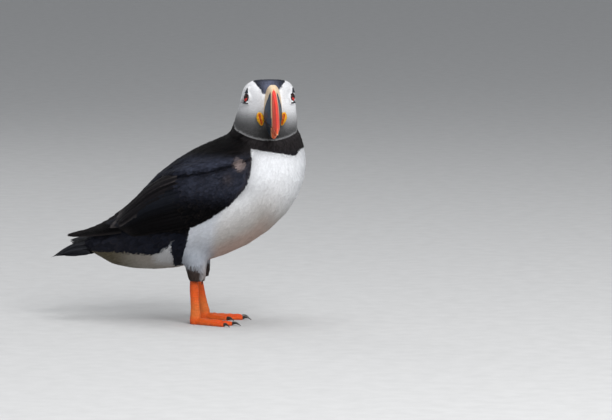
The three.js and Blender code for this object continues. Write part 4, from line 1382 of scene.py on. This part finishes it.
def flight_feathers(hand):
    """One wing's long feathers, in three layers from the lowest up."""
    coat = Coat()
    # Primaries: the outermost is the lowest and longest, and each inner one lies over it.
    count = PRIMARY_COUNT
    long_feathers(coat, hand, fanned(count, (0.62, 0.08), (-0.006, 0.078)),
                  fanned(count, (1.0, 0.68), (-0.021, 0.045)), fanned(count, [7.5], [0.15]),
                  fanned(count, [-0.9], [0.07]), FLIGHT_BROWN, FLIGHT_EDGE, 0.22)
    # Secondaries, over the roots of the primaries.
    count = SECONDARY_COUNT
    tones = over(FLIGHT_BROWN, SECONDARY_BLUE, ramp(3, 9, np.arange(count)))
    long_feathers(coat, hand, fanned(count, (0.50, 0.04), (0.003, 0.066)),
                  fanned(count, (0.765, 0.07), (0.0085, 0.066)), fanned(count, [8.6], [0]),
                  fanned(count, [-0.25], [0.05]), tones, FLIGHT_EDGE, 0.12)
    # Tertials close the wing against the back.
    count = TERTIAL_COUNT
    long_feathers(coat, hand, fanned(count, (0.54, 0.66), (0, 0.07)),
                  fanned(count, (0.842, 0.56), (-0.008, 0.095)), fanned(count, [9.0], [0]),
                  fanned(count, [0.25], [0.12]), FLIGHT_BROWN * 3.5, TERTIAL_EDGE, 0.26)
    coat.build("flight_feathers_" + hand, FLIGHT_FEATHERS, "flight_feathers",
               ["primaries_" + hand], 0.25)


for hand in HANDS:
    flight_feathers(hand)


# ---------- tail ----------
TAIL_LENGTH = 30
TAIL_ROOT_HEIGHT = 59.5
TAIL_ROUNDING = 9
TAIL_DROOP = 8.1
TAIL_BEND = 1.7
TAIL_THINNING = 1.9
TAIL_ARCH = 1.5
TAIL_SQUARENESS = 0.6
TAIL_HALF_WIDTHS = (11, 16)  # at the root and at the end
TAIL_HALF_THICKS = (5.5, 0.8)
TAIL_ROOT_X = node_box("tail")[0][0] + TAIL_LENGTH
TAIL_COUNT = 11
SHORT_COVERT_COUNT = 15
LONG_COVERT_COUNT = 9
# The long coverts' line in the side view, from the rump out over the tail, and the layers'
# depth below it and share of its length.
COVERT_LINE = [[-76, 73], [-84, 71], [-92, 69], [-100, 67.2], [-108.5, 64.6]]
COVERT_LAYERS = [(4.2, 0.75), (2.8, 0.85), (1.4, 0.93), (0, 1)]
TAIL_BLACK = np.array([0.0180, 0.0190, 0.0230])


def tail_place(along, turn):
    """The tail's surface, thick at its root. turn is 0 on the left and 90 degrees on top."""
    across = signed_power(np.cos(turn), TAIL_SQUARENESS)
    lift = signed_power(np.sin(turn), TAIL_SQUARENESS)
    run = TAIL_LENGTH * along - TAIL_ROUNDING * along * across ** 2
    half_width = mix(*TAIL_HALF_WIDTHS, np.clip(along, 0, 1) ** 0.8)
    half_thick = mix(*TAIL_HALF_THICKS, np.clip(along, 0, 1) ** TAIL_THINNING) - 0.5
    sunk = TAIL_DROOP * np.clip(run / TAIL_LENGTH, 0, 2) ** TAIL_BEND
    z = TAIL_ROOT_HEIGHT - sunk - TAIL_ARCH * across ** 2 + lift * half_thick
    return np.stack([TAIL_ROOT_X - run, across * half_width, z], -1)


def tail_turns(count, widest):
    """Turns round the tail's top that are evenly spaced across it."""
    return np.arccos(signed_power(np.linspace(-widest, widest, count), 1 / TAIL_SQUARENESS))


def tail_row(coat, turns, start, stop, width, lift):
    """Feathers round the tail, each along it from start to stop."""
    number = len(turns)
    along = mix(start, np.asarray(stop)[:, None], LONG_STEPS[None])
    turn = np.repeat(turns[:, None], len(LONG_STEPS), 1)
    centres = tail_place(along, turn)
    ahead = unit(tail_place(along + 0.02, turn) - centres)
    around = tail_place(along, turn + 0.03) - tail_place(along, turn - 0.03)
    half_widths = width / 2 * LONG_PROFILE * np.ones((number, 1))
    heights = np.asarray(lift)[:, None] * ramp(0, 0.3, LONG_STEPS)
    tints = TAIL_BLACK * RANDOM.uniform(0.8, 1.25, (number, 1))
    roots = np.stack([turns, along[:, 0] + 0.2 * np.sin(turns * 2)], 1)
    coat.add(centres, unit(np.cross(around, ahead)), ahead, half_widths, heights, tints, roots,
             FLIGHT_EDGE, 0.04, columns=6, cup=0.2, fringe=0.4)


def long_coverts(coat, lowering, shortening):
    """A layer of the longest upper coverts, which run out from the rump over the tail's root."""
    level = np.linspace(-1, 1, LONG_COVERT_COUNT)
    line = through(COVERT_LINE, LONG_STEPS * shortening)
    ones = np.ones(len(LONG_STEPS))
    centres = np.stack([np.stack([line[:, 0] + 6 * off ** 2 * LONG_STEPS, 10 * off * ones,
                                  line[:, 1] - 3.5 * off ** 2], 1) for off in level])
    forwards = unit(np.gradient(centres, axis=1))
    lean = np.stack([0 * level, level * 0.7, np.ones(len(level))], 1)[:, None]
    half_widths = 2.9 * LONG_PROFILE * np.ones((len(level), 1))
    heights = (0.4 - 0.3 * np.abs(level) - lowering)[:, None] * ones
    tints = TAIL_BLACK * RANDOM.uniform(0.7, 1.2, (len(level), 1))
    roots = np.stack([level, 0.4 + 0.1 * level ** 2], 1)
    coat.add(centres, flattened(lean, forwards), forwards, half_widths, heights, tints, roots,
             FLIGHT_EDGE, 0.15, columns=6, cup=0.3, fringe=0.4)


def tail_feathers():
    """The tail's feathers above and below, and the shorter coverts that wrap their roots."""
    coat = Coat()
    off = np.abs(np.linspace(-1, 1, TAIL_COUNT))
    turns = tail_turns(TAIL_COUNT, 0.97)
    tail_row(coat, -turns, -0.15, 1.05 - 0.05 * off, 6.5, 0.1 * off)
    tail_row(coat, turns, -0.15, 1.09 - 0.03 * off, 6.5, 0.5 - 0.3 * off)
    off = np.abs(np.linspace(-1, 1, SHORT_COVERT_COUNT))
    turns = tail_turns(SHORT_COVERT_COUNT, 0.99)
    tail_row(coat, turns, -0.3, 0.64 - 0.14 * off, 5.5, 1.3 - 0.4 * off)
    tail_row(coat, turns, -0.5, 0.34 + 0 * off, 5.0, 1.8 + 0 * off)
    for lowering, shortening in COVERT_LAYERS:
        long_coverts(coat, lowering, shortening)
    coat.build("tail_feathers", FLIGHT_FEATHERS, "flight_feathers", ["tail"], 0.2)


tail_feathers()


# ---------- bill ----------
# The bill's own frame: x runs along it, y to its left and z up from the gape.
BILL_LENGTH = 42
BILL_ROOT = -6
RIDGE_HEIGHT = 27.7
KEEL_DEPTH = 13.8
LOWER_SHARE = 0.93  # the lower mandible's length against the upper one's
LOWER_WIDTH = 0.96  # and its width, so that it lies inside the upper one's cutting edge
LAST_RING = 0.988  # the share of its length at which a mandible's tip is closed
GAPE = 0.12  # each cutting edge stands this far from the gape's plane
SIDE_ROUNDNESS = 2 / 2.6  # exponents of the bill's cross-section
RIDGE_ROUNDNESS = 2 / 2.4
BILL_LEAN = 1.1  # how far the upper mandible's tip lies left of the lower one's
# The bill's half width at distances along it.
BILL_PLACES = [-7, 2, 12, 22, 32, 42]
BILL_HALF_WIDTHS = [8, 7.4, 5.5, 3.1, 1.7, 0.6]
# Half width of the red strip down the ridge, at distances along the bill.
STRIP_PLACES = [1, 2.5, 5, 8.2, 13.3, 18.5]
STRIP_HALF_WIDTHS = [0, 0.5, 1.1, 1.7, 2.4, 2.8]
# The raised pale line between the slate base and the red end, in the bill's side view, and the
# grooves' distances past it.
UPPER_CHEVRON = [[2, 27.4], [5, 25.9], [8.5, 23.9], [12, 21.2], [15.4, 17.4], [18.8, 11.8],
                 [21.2, 6.5], [22.5, 0]]
LOWER_CHEVRON = [[22.5, 0], [21.5, -3.6], [18.6, -7.6], [14.4, -11.4], [10, -14.6]]
GROOVES = [4.2, 8.2, 11.6]
GROOVE_DEPTH = 0.34
CHEVRON_HEIGHT = 0.42
CERE_EDGE = 2.2
CERE_HEIGHT = 0.62
RIM_FLARE = 1.0
RIM_REACH = 3.6  # the pale rim of the lower mandible shows this far out of the skin
NOSTRIL_DEPTH = 0.75
AROUND = 121  # points round a mandible's horn, and across its flat side
ACROSS = 9
RINGS = 130
SLATE = np.array([0.010, 0.030, 0.062])
CREAM = np.array([0.72, 0.54, 0.34])
CHEVRON_CREAM = CREAM * np.array([1.0, 0.92, 0.85])
GROOVE_CREAM = CREAM * np.array([1, 0.75, 0.6])
EDGE_CREAM = np.array([0.72, 0.50, 0.30])
CERE = np.array([0.66, 0.51, 0.34])
CORAL = np.array([0.70, 0.045, 0.030])
TIP_ORANGE = np.array([0.80, 0.13, 0.035])
# The lower mandible's red in painted shade.
SHADED_LOWER_RED = np.array([0.30, 0.040, 0.014])
LOWER_SHADE = np.array([0.75, 0.5, 0.4])
NOSTRIL_BLACK = np.array([0.008, 0.008, 0.01])


def ring_faces(wide, rings):
    """Quads between closed rings of wide points each, and the first and last ring as faces."""
    starts = [ring * wide for ring in range(rings - 1)]
    quads = [(start + k, start + (k + 1) % wide, start + (k + 1) % wide + wide, start + k + wide)
             for start in starts for k in range(wide)]
    return quads, tuple(range(wide)), tuple(range((rings - 1) * wide, rings * wide))


def mandible_shape(upper):
    """Points of one mandible in the bill's frame, ring after ring from root to tip."""
    length = BILL_LENGTH * (1 if upper else LOWER_SHARE)
    share = np.array([(ring / (RINGS - 1)) ** 0.85 for ring in range(RINGS)])[:, None]
    x = mix(BILL_ROOT, length * LAST_RING, share)
    along = np.maximum(x / length, 0)
    angle = np.linspace(0, math.pi, AROUND)
    rise = np.sin(angle)
    if upper:
        height = RIDGE_HEIGHT * (1 - along ** 1.8) ** 0.77 - 0.8
        taper = 1 - mix(0.08, 0.42, ramp(BILL_ROOT, 16, x)) * rise ** 1.5
    else:
        height = KEEL_DEPTH * (1 - along ** 1.6) ** 0.9 + 0.9
        taper = LOWER_WIDTH * (1 - 0.4 * rise ** 1.3)
    half_width = np.interp(x, BILL_PLACES, BILL_HALF_WIDTHS)
    y = signed_power(np.cos(angle), SIDE_ROUNDNESS) * half_width * taper
    z = GAPE + rise ** RIDGE_ROUNDNESS * (height - GAPE)
    flat = np.linspace(y[:, -1], y[:, 0], ACROSS + 2, axis=1)[:, 1:-1]
    y = np.concatenate([y, flat], 1)
    z = np.concatenate([z, np.full_like(flat, GAPE)], 1)
    if upper:
        y = y + bill_lean(x)
    return np.stack([x + 0 * y, y, z if upper else -z], -1).reshape(-1, 3)


def bill_lean(x):
    return BILL_LEAN * ramp(6, 27, x)


def past_chevron(x, y, z, upper):
    """Distance past the pale line, toward the tip. The red strip on the ridge counts as past."""
    samples = through(UPPER_CHEVRON if upper else LOWER_CHEVRON, np.linspace(0, 1, 160))
    gap = np.hypot(x[:, None] - samples[None, :, 0], z[:, None] - samples[None, :, 1])
    nearest = gap.argmin(1)
    tangent = np.gradient(samples, axis=0)[nearest]
    offset = np.stack([x, z], 1) - samples[nearest]
    side = np.sign(tangent[:, 0] * offset[:, 1] - tangent[:, 1] * offset[:, 0])
    past = gap.min(1) * side * side[np.argmax(x)]
    if upper:
        strip = np.interp(x, STRIP_PLACES, STRIP_HALF_WIDTHS) - np.abs(y)
        past = np.where((z > 7) & (x < 20), np.maximum(past, strip), past)
    return past


def mandible_colours(local, past, on_side, cere, nostril, upper):
    """Slate before the pale line and red past it, with pale grooves and the cere's cream, and
    painted shade on the lower mandible.
    """
    x, _, z = local.T
    lined = sum(bell(past - groove, 0.5) for groove in GROOVES) * on_side
    if upper:
        red = over(CORAL, TIP_ORANGE, ramp(36, 42, x))
    else:
        # The lower mandible's red in painted shade, turning orange along the keel toward the tip.
        red = over(SHADED_LOWER_RED, TIP_ORANGE, ramp(-4.5, -8, z - 0.12 * x))
    red = over(red, GROOVE_CREAM, 0.35 * lined)
    slate = SLATE * (1 + 0.25 * ripple(local, 9))[:, None]
    colour = over(slate, red, ramp(0.1, 0.5, past))
    colour = over(colour, CHEVRON_CREAM, ramp(1.05, 0.6, np.abs(past - 0.1)))
    if upper:
        colour = over(colour, EDGE_CREAM, 0.7 * ramp(1.1, 0.6, z) * ramp(16, 24, x))
        colour = over(colour, NOSTRIL_BLACK, np.clip(nostril * 1.5, 0, 1))
    else:
        # Painted shade on the lower mandible's slate base.
        colour = over(colour, colour * LOWER_SHADE, ramp(0.1, -1.0, past))
    return over(colour, CERE, cere)


def make_mandible(name, node, upper):
    """Half of the bill, with its grooves, the raised pale line, the cere and the nostril."""
    local = mandible_shape(upper)
    quads, root, tip = ring_faces(AROUND + ACROSS, RINGS)
    faces = quads + [tip, root[::-1]]
    mesh = mesh_from(name, from_bill(local), [face[::-1] for face in faces] if upper else faces)

    x, y, z = local.T
    y = y - bill_lean(x) if upper else y
    past = past_chevron(x, y, z, upper)
    on_side = ramp(0.6, 1.6, np.abs(y))
    height = CHEVRON_HEIGHT * bell(past, 0.75) * mix(0.5, 1, on_side)
    for groove in GROOVES:
        height -= GROOVE_DEPTH * bell(past - groove, 0.55) * on_side
    edge = CERE_EDGE + 0.25 * ripple(local, 5)
    if upper:
        edge = edge + 3.0 * ramp(8, 21, z) * ramp(0.4, 2.4, np.abs(y))
    else:
        edge = edge + 3.8 * ramp(0.2, -2, z) + 3.6 * ramp(-2, -11, z)
    cere = ramp(edge + 0.35, edge - 0.35, x)
    if not upper:
        at = from_bill(local)
        places, outs = nearest_skin(at)
        out_of_skin = dot(at - places, outs)[:, 0]
        cere = np.maximum(cere, ramp(RIM_REACH + 0.3, RIM_REACH - 0.3, out_of_skin))
        height += RIM_FLARE * cere * ramp(-1, -5, z)
    height += CERE_HEIGHT * cere * ramp(-5, 0.5, x)
    height += 0.05 * ripple(local, 1.7) * cere
    height -= 0.18 * bell(x - edge - 0.9, 0.6)
    nostril = np.exp(-(((x - 8.0) / 3.6) ** 4 + ((z - 2.0 - 0.05 * x) / 0.5) ** 2))
    if upper:
        height -= NOSTRIL_DEPTH * nostril
    set_points(mesh, from_bill(local) + normals_of(mesh) * height[:, None])
    add_colours(mesh, mandible_colours(local, past, on_side, cere, nostril, upper))
    add_vectors(mesh, "place", local)
    show(mesh, BILL_LOOK, "bill_horn", node)


make_mandible("bill_upper_horn", "bill_upper", True)
make_mandible("bill_lower_horn", "bill_lower", False)


# ---------- gape rosettes, eyes and horn plates ----------
ROSETTE_YELLOW = np.array([0.78, 0.40, 0.003])
ROSETTE_ORANGE = np.array([0.42, 0.055, 0.003])
ROSETTE_PLACE = np.array([12.6, 0.2, -17.0])  # midway between the two, in the head's frame
ROSETTE_APART = 9.1
ROSETTE_TILT = 0.17
ROSETTE_RADII = (2.9, 3.0, 5.5)  # forward, outward and up
BALL_AROUND = 72
PUPIL = math.radians(17)
IRIS = math.radians(43)
CORNEA = 0.30
PUPIL_BLACK = np.array([0.0015, 0.0013, 0.0015])
IRIS_BROWN = np.array([0.018, 0.008, 0.005])
IRIS_RIM = np.array([0.012, 0.006, 0.005])


def ball_grid(rings):
    """A unit sphere's polar angles and turns, and its faces, with the pole first."""
    polar = np.repeat(np.linspace(0.02, math.pi - 0.02, rings), BALL_AROUND)
    turn = np.tile(np.arange(BALL_AROUND) / BALL_AROUND * 2 * math.pi, rings)
    quads, first, last = ring_faces(BALL_AROUND, rings)
    return polar, turn, [(a, d, c, b) for a, b, c, d in quads] + [first, last[::-1]]


def make_rosette(hand):
    """A folded pad of skin at the corner of the gape, with a slit down its middle."""
    sign = HANDS[hand]
    polar, turn, faces = ball_grid(60)
    forward = np.sin(polar) * np.cos(turn)
    outward = np.sin(polar) * np.sin(turn)
    rise = np.cos(polar)
    slit = bell(outward - 0.12 * np.sin(rise * 3), 0.3, 4) * ramp(0.0, 0.5, forward)
    slit = slit * ramp(0.95, 0.6, np.abs(rise)) * mix(0.45, 1.0, ramp(0.0, 0.25, np.abs(rise)))
    folds = 0.055 * np.sin(turn * 9 + rise * 5) * np.sin(polar) \
        + 0.035 * np.sin(turn * 17 - rise * 9) * np.sin(polar)
    swell = 1 + folds - 0.26 * slit + 0.03 * np.sin(rise * 14)
    narrow = mix(0.72, 1.0, ramp(-1.0, 0.1, rise))
    local = np.stack([forward * swell, outward * swell * narrow, rise * (1 + folds * 0.4)], 1)
    local = local * ROSETTE_RADII
    leaning = local + local[:, 2:] * np.array([0, ROSETTE_TILT, 0])
    placed = ROSETTE_PLACE + (leaning + np.array([0, ROSETTE_APART, 0])) * np.array([1, sign, 1])
    if sign < 0:
        faces = [face[::-1] for face in faces]
    mesh = mesh_from("rosette_skin_" + hand, from_head(placed), faces)
    middle = bell(outward, 0.42) * ramp(1.0, 0.5, np.abs(rise)) * ramp(0, 0.4, forward)
    heat = np.clip(slit * 1.3 + 0.6 * middle + 0.35 * ramp(0.0, -0.06, folds), 0, 1)
    heat = np.clip(heat + 0.25 * ripple(local, 2.2) * ramp(0.2, 0.8, slit + 0.4), 0, 1)
    add_colours(mesh, over(ROSETTE_YELLOW, ROSETTE_ORANGE, heat))
    show(mesh, ROSETTE_LOOK, "rosette_skin", "rosette_" + hand)


def make_eye(hand):
    """An eyeball with a domed cornea; the iris is painted by the angle from its pole."""
    polar, turn, faces = ball_grid(72)
    radius = EYE_RADIUS - 0.12 + CORNEA * ramp(IRIS, IRIS * 0.25, polar)
    local = np.stack([np.cos(polar), np.sin(polar) * np.cos(turn), np.sin(polar) * np.sin(turn)], 1)
    points = node_box("eye_" + hand)[2] + (local * radius[:, None]) @ np.array(EYES[hand][1:])
    mesh = mesh_from("eyeball_" + hand, points, faces)
    bm = bmesh.new()
    bm.from_mesh(mesh)
    bmesh.ops.recalc_face_normals(bm, faces=bm.faces)
    bm.to_mesh(mesh)
    bm.free()
    streaks = 1 + 0.3 * np.sin(turn * 23 + np.sin(turn * 7) * 2)
    iris = IRIS_BROWN * streaks[:, None]
    colour = over(iris, PUPIL_BLACK, ramp(PUPIL + 0.03, PUPIL - 0.03, polar))
    add_colours(mesh, over(colour, IRIS_RIM, ramp(IRIS - 0.08, IRIS, polar)))
    show(mesh, EYE_LOOK, "eye", "eye_" + hand)


def dress(name, look):
    """A CAD node keeps its shape and gets its finish."""
    materials = frame["nodes"][name].data.materials
    materials.clear()
    materials.append(look)


for hand in HANDS:
    make_rosette(hand)
    make_eye(hand)
    for plate in ("upper", "lower"):
        dress("eye_plate_" + plate + "_" + hand, PLATE_LOOK)
    for toe in ("inner", "middle", "outer"):
        dress("claw_" + toe + "_" + hand, CLAW_LOOK)


# ---------- legs and feet ----------
# Each toe's angle from the middle one, its length and the places of its joints.
TOES = [(-21, 22, [9, 17]), (0, 32, [9, 18, 26]), (21, 31, [8, 15, 21, 27])]
LEG_GROW = 0.12
LEG_VOXEL = 0.42
FOOT_TURN = math.radians(4)
SHANK_PINCH = 0.22  # the shank's top is drawn in and up, under the feathers
SHANK_RISE = 5
SCUTE_DEPTH = 0.17
KNUCKLE_HEIGHT = 0.28
KNEE_HEIGHT = 0.25
LEG_ORANGE = np.array([0.66, 0.095, 0.005])
LEG_RED = np.array([0.80, 0.070, 0.006])
LEG_PALE = np.array([0.66, 0.22, 0.045])


def grooves(place, size):
    """1 in the grooves between scutes, which lie size millimetres apart."""
    return bell((place / size) % 1 - 0.5, 0.16)


def leg_relief(x, y, z, upward, local):
    """Height of the scutes, knee, knuckles and web, and how far each point lies in a groove."""
    shank = ramp(6.5, 9.0, z)
    front = ramp(-0.2, 1.6, x - 0.02 * (z - 7))
    rings = (grooves(z, 2.1) * front + grooves(z + 1, 1.5) * (1 - front) * 0.5) * shank
    height = KNEE_HEIGHT * bell(z - 8.5, 3) * ramp(0, 2, z - 4) - 0.16 * rings
    cut = rings
    for degrees, length, joints in TOES:
        angle = math.radians(degrees)
        along = x * math.cos(angle) + y * math.sin(angle)
        across = -x * math.sin(angle) + y * math.cos(angle)
        on_toe = ramp(3.4, 2.4, np.abs(across)) * ramp(1, 3, along) \
            * ramp(length + 1, length - 0.5, along) * (z < 8)
        scutes = grooves(along, 1.75) * on_toe * upward
        height = height - SCUTE_DEPTH * scutes
        cut = cut + scutes
        for joint in joints:
            height = height + KNUCKLE_HEIGHT * bell(along - joint, 1.7) * on_toe
    web = ramp(2.6, 2.1, z) * ramp(4, 7, np.hypot(x, y))
    return height + 0.05 * ripple(local, 2.4) * web * upward, np.clip(cut, 0, 1), web


def make_leg(hand):
    """Shank and webbed foot in one skin, with scutes down the front and over each toe."""
    names = ["tarsus_" + hand, "foot_" + hand]
    mesh = remeshed("leg_" + hand, names, LEG_GROW, LEG_VOXEL)
    relaxed(mesh, 16)
    points, normals = points_of(mesh), normals_of(mesh)
    middle = points[points[:, 2] > 33, :2].mean(0)
    pinch = ramp(27, 34, points[:, 2])[:, None]
    points[:, :2] = mix(points[:, :2], middle, SHANK_PINCH * pinch)
    points[:, 2:] += SHANK_RISE * pinch
    # The foot's own frame, with the middle toe along x and the inner one on the right.
    local = (points - bird_frame(SOLES["sole_" + hand])) * np.array([1, HANDS[hand], 1])
    cos, sin = math.cos(FOOT_TURN), math.sin(FOOT_TURN)
    local[:, :2] = np.stack([local[:, 0] * cos + local[:, 1] * sin,
                             -local[:, 0] * sin + local[:, 1] * cos], 1)
    x, y, z = local.T
    height, cut, web = leg_relief(x, y, z, ramp(0.15, 0.6, normals[:, 2]), local)
    points = points + normals * height[:, None]
    points[:, 2] = np.maximum(points[:, 2], 0.0)
    set_points(mesh, points)

    colour = over(LEG_ORANGE, LEG_RED, 0.2 + 0.6 * ramp(10, 30, x))
    colour = over(colour, LEG_PALE, 0.45 * (ramp(24, 12, z) * ramp(3, 8, z) + 0.35 * web))
    # Painted shade high on the shank, where it goes under the feathers, and in the grooves between
    # scutes.
    leg_shade = 0.35 * (ramp(24, 34, z) + cut)
    colour = colour * (1 - 0.5 * leg_shade)[:, None] * (1 + 0.12 * ripple(local, 6))[:, None]
    add_colours(mesh, colour)
    show(mesh, LEG_LOOK, "leg_skin", *names)


for hand in HANDS:
    make_leg(hand)


# ---------- stage ----------
FLOOR_RADIUS = 9
FLOOR_CORNERS = 48
SKY = (0.93, 0.96, 1.0, 1)
SKY_STRENGTH = 0.42

turns = [k / FLOOR_CORNERS * 2 * math.pi for k in range(FLOOR_CORNERS)]
floor_mesh = bpy.data.meshes.new("floor")
floor_mesh.from_pydata([(math.cos(turn) * FLOOR_RADIUS, math.sin(turn) * FLOOR_RADIUS, 0)
                        for turn in turns], [], [list(range(FLOOR_CORNERS))])
floor = new_object("floor", floor_mesh, floor_look(), smooth=False)

world = bpy.data.worlds.new("studio")
bpy.context.scene.world = world
world.use_nodes = True
world.node_tree.nodes["Background"].inputs["Color"].default_value = SKY
world.node_tree.nodes["Background"].inputs["Strength"].default_value = SKY_STRENGTH


def soft_light(name, place, size, power):
    """A round soft lamp that shines on the bird."""
    data = bpy.data.lights.new(name, "AREA")
    data.shape = "DISK"
    data.size = size
    data.energy = power
    lamp = bpy.data.objects.new(name, data)
    bpy.context.scene.collection.objects.link(lamp)
    lamp.location = place
    lamp.rotation_euler = (Vector(place) - Vector((0, 0, 0.1))).to_track_quat("Z", "Y").to_euler()


soft_light("key", (1.25, -1.5, 1.5), 1.5, 53)
soft_light("top", (0.1, -0.1, 2.1), 1.8, 22)
soft_light("rim", (-1.3, 1.2, 1.2), 1.0, 4)
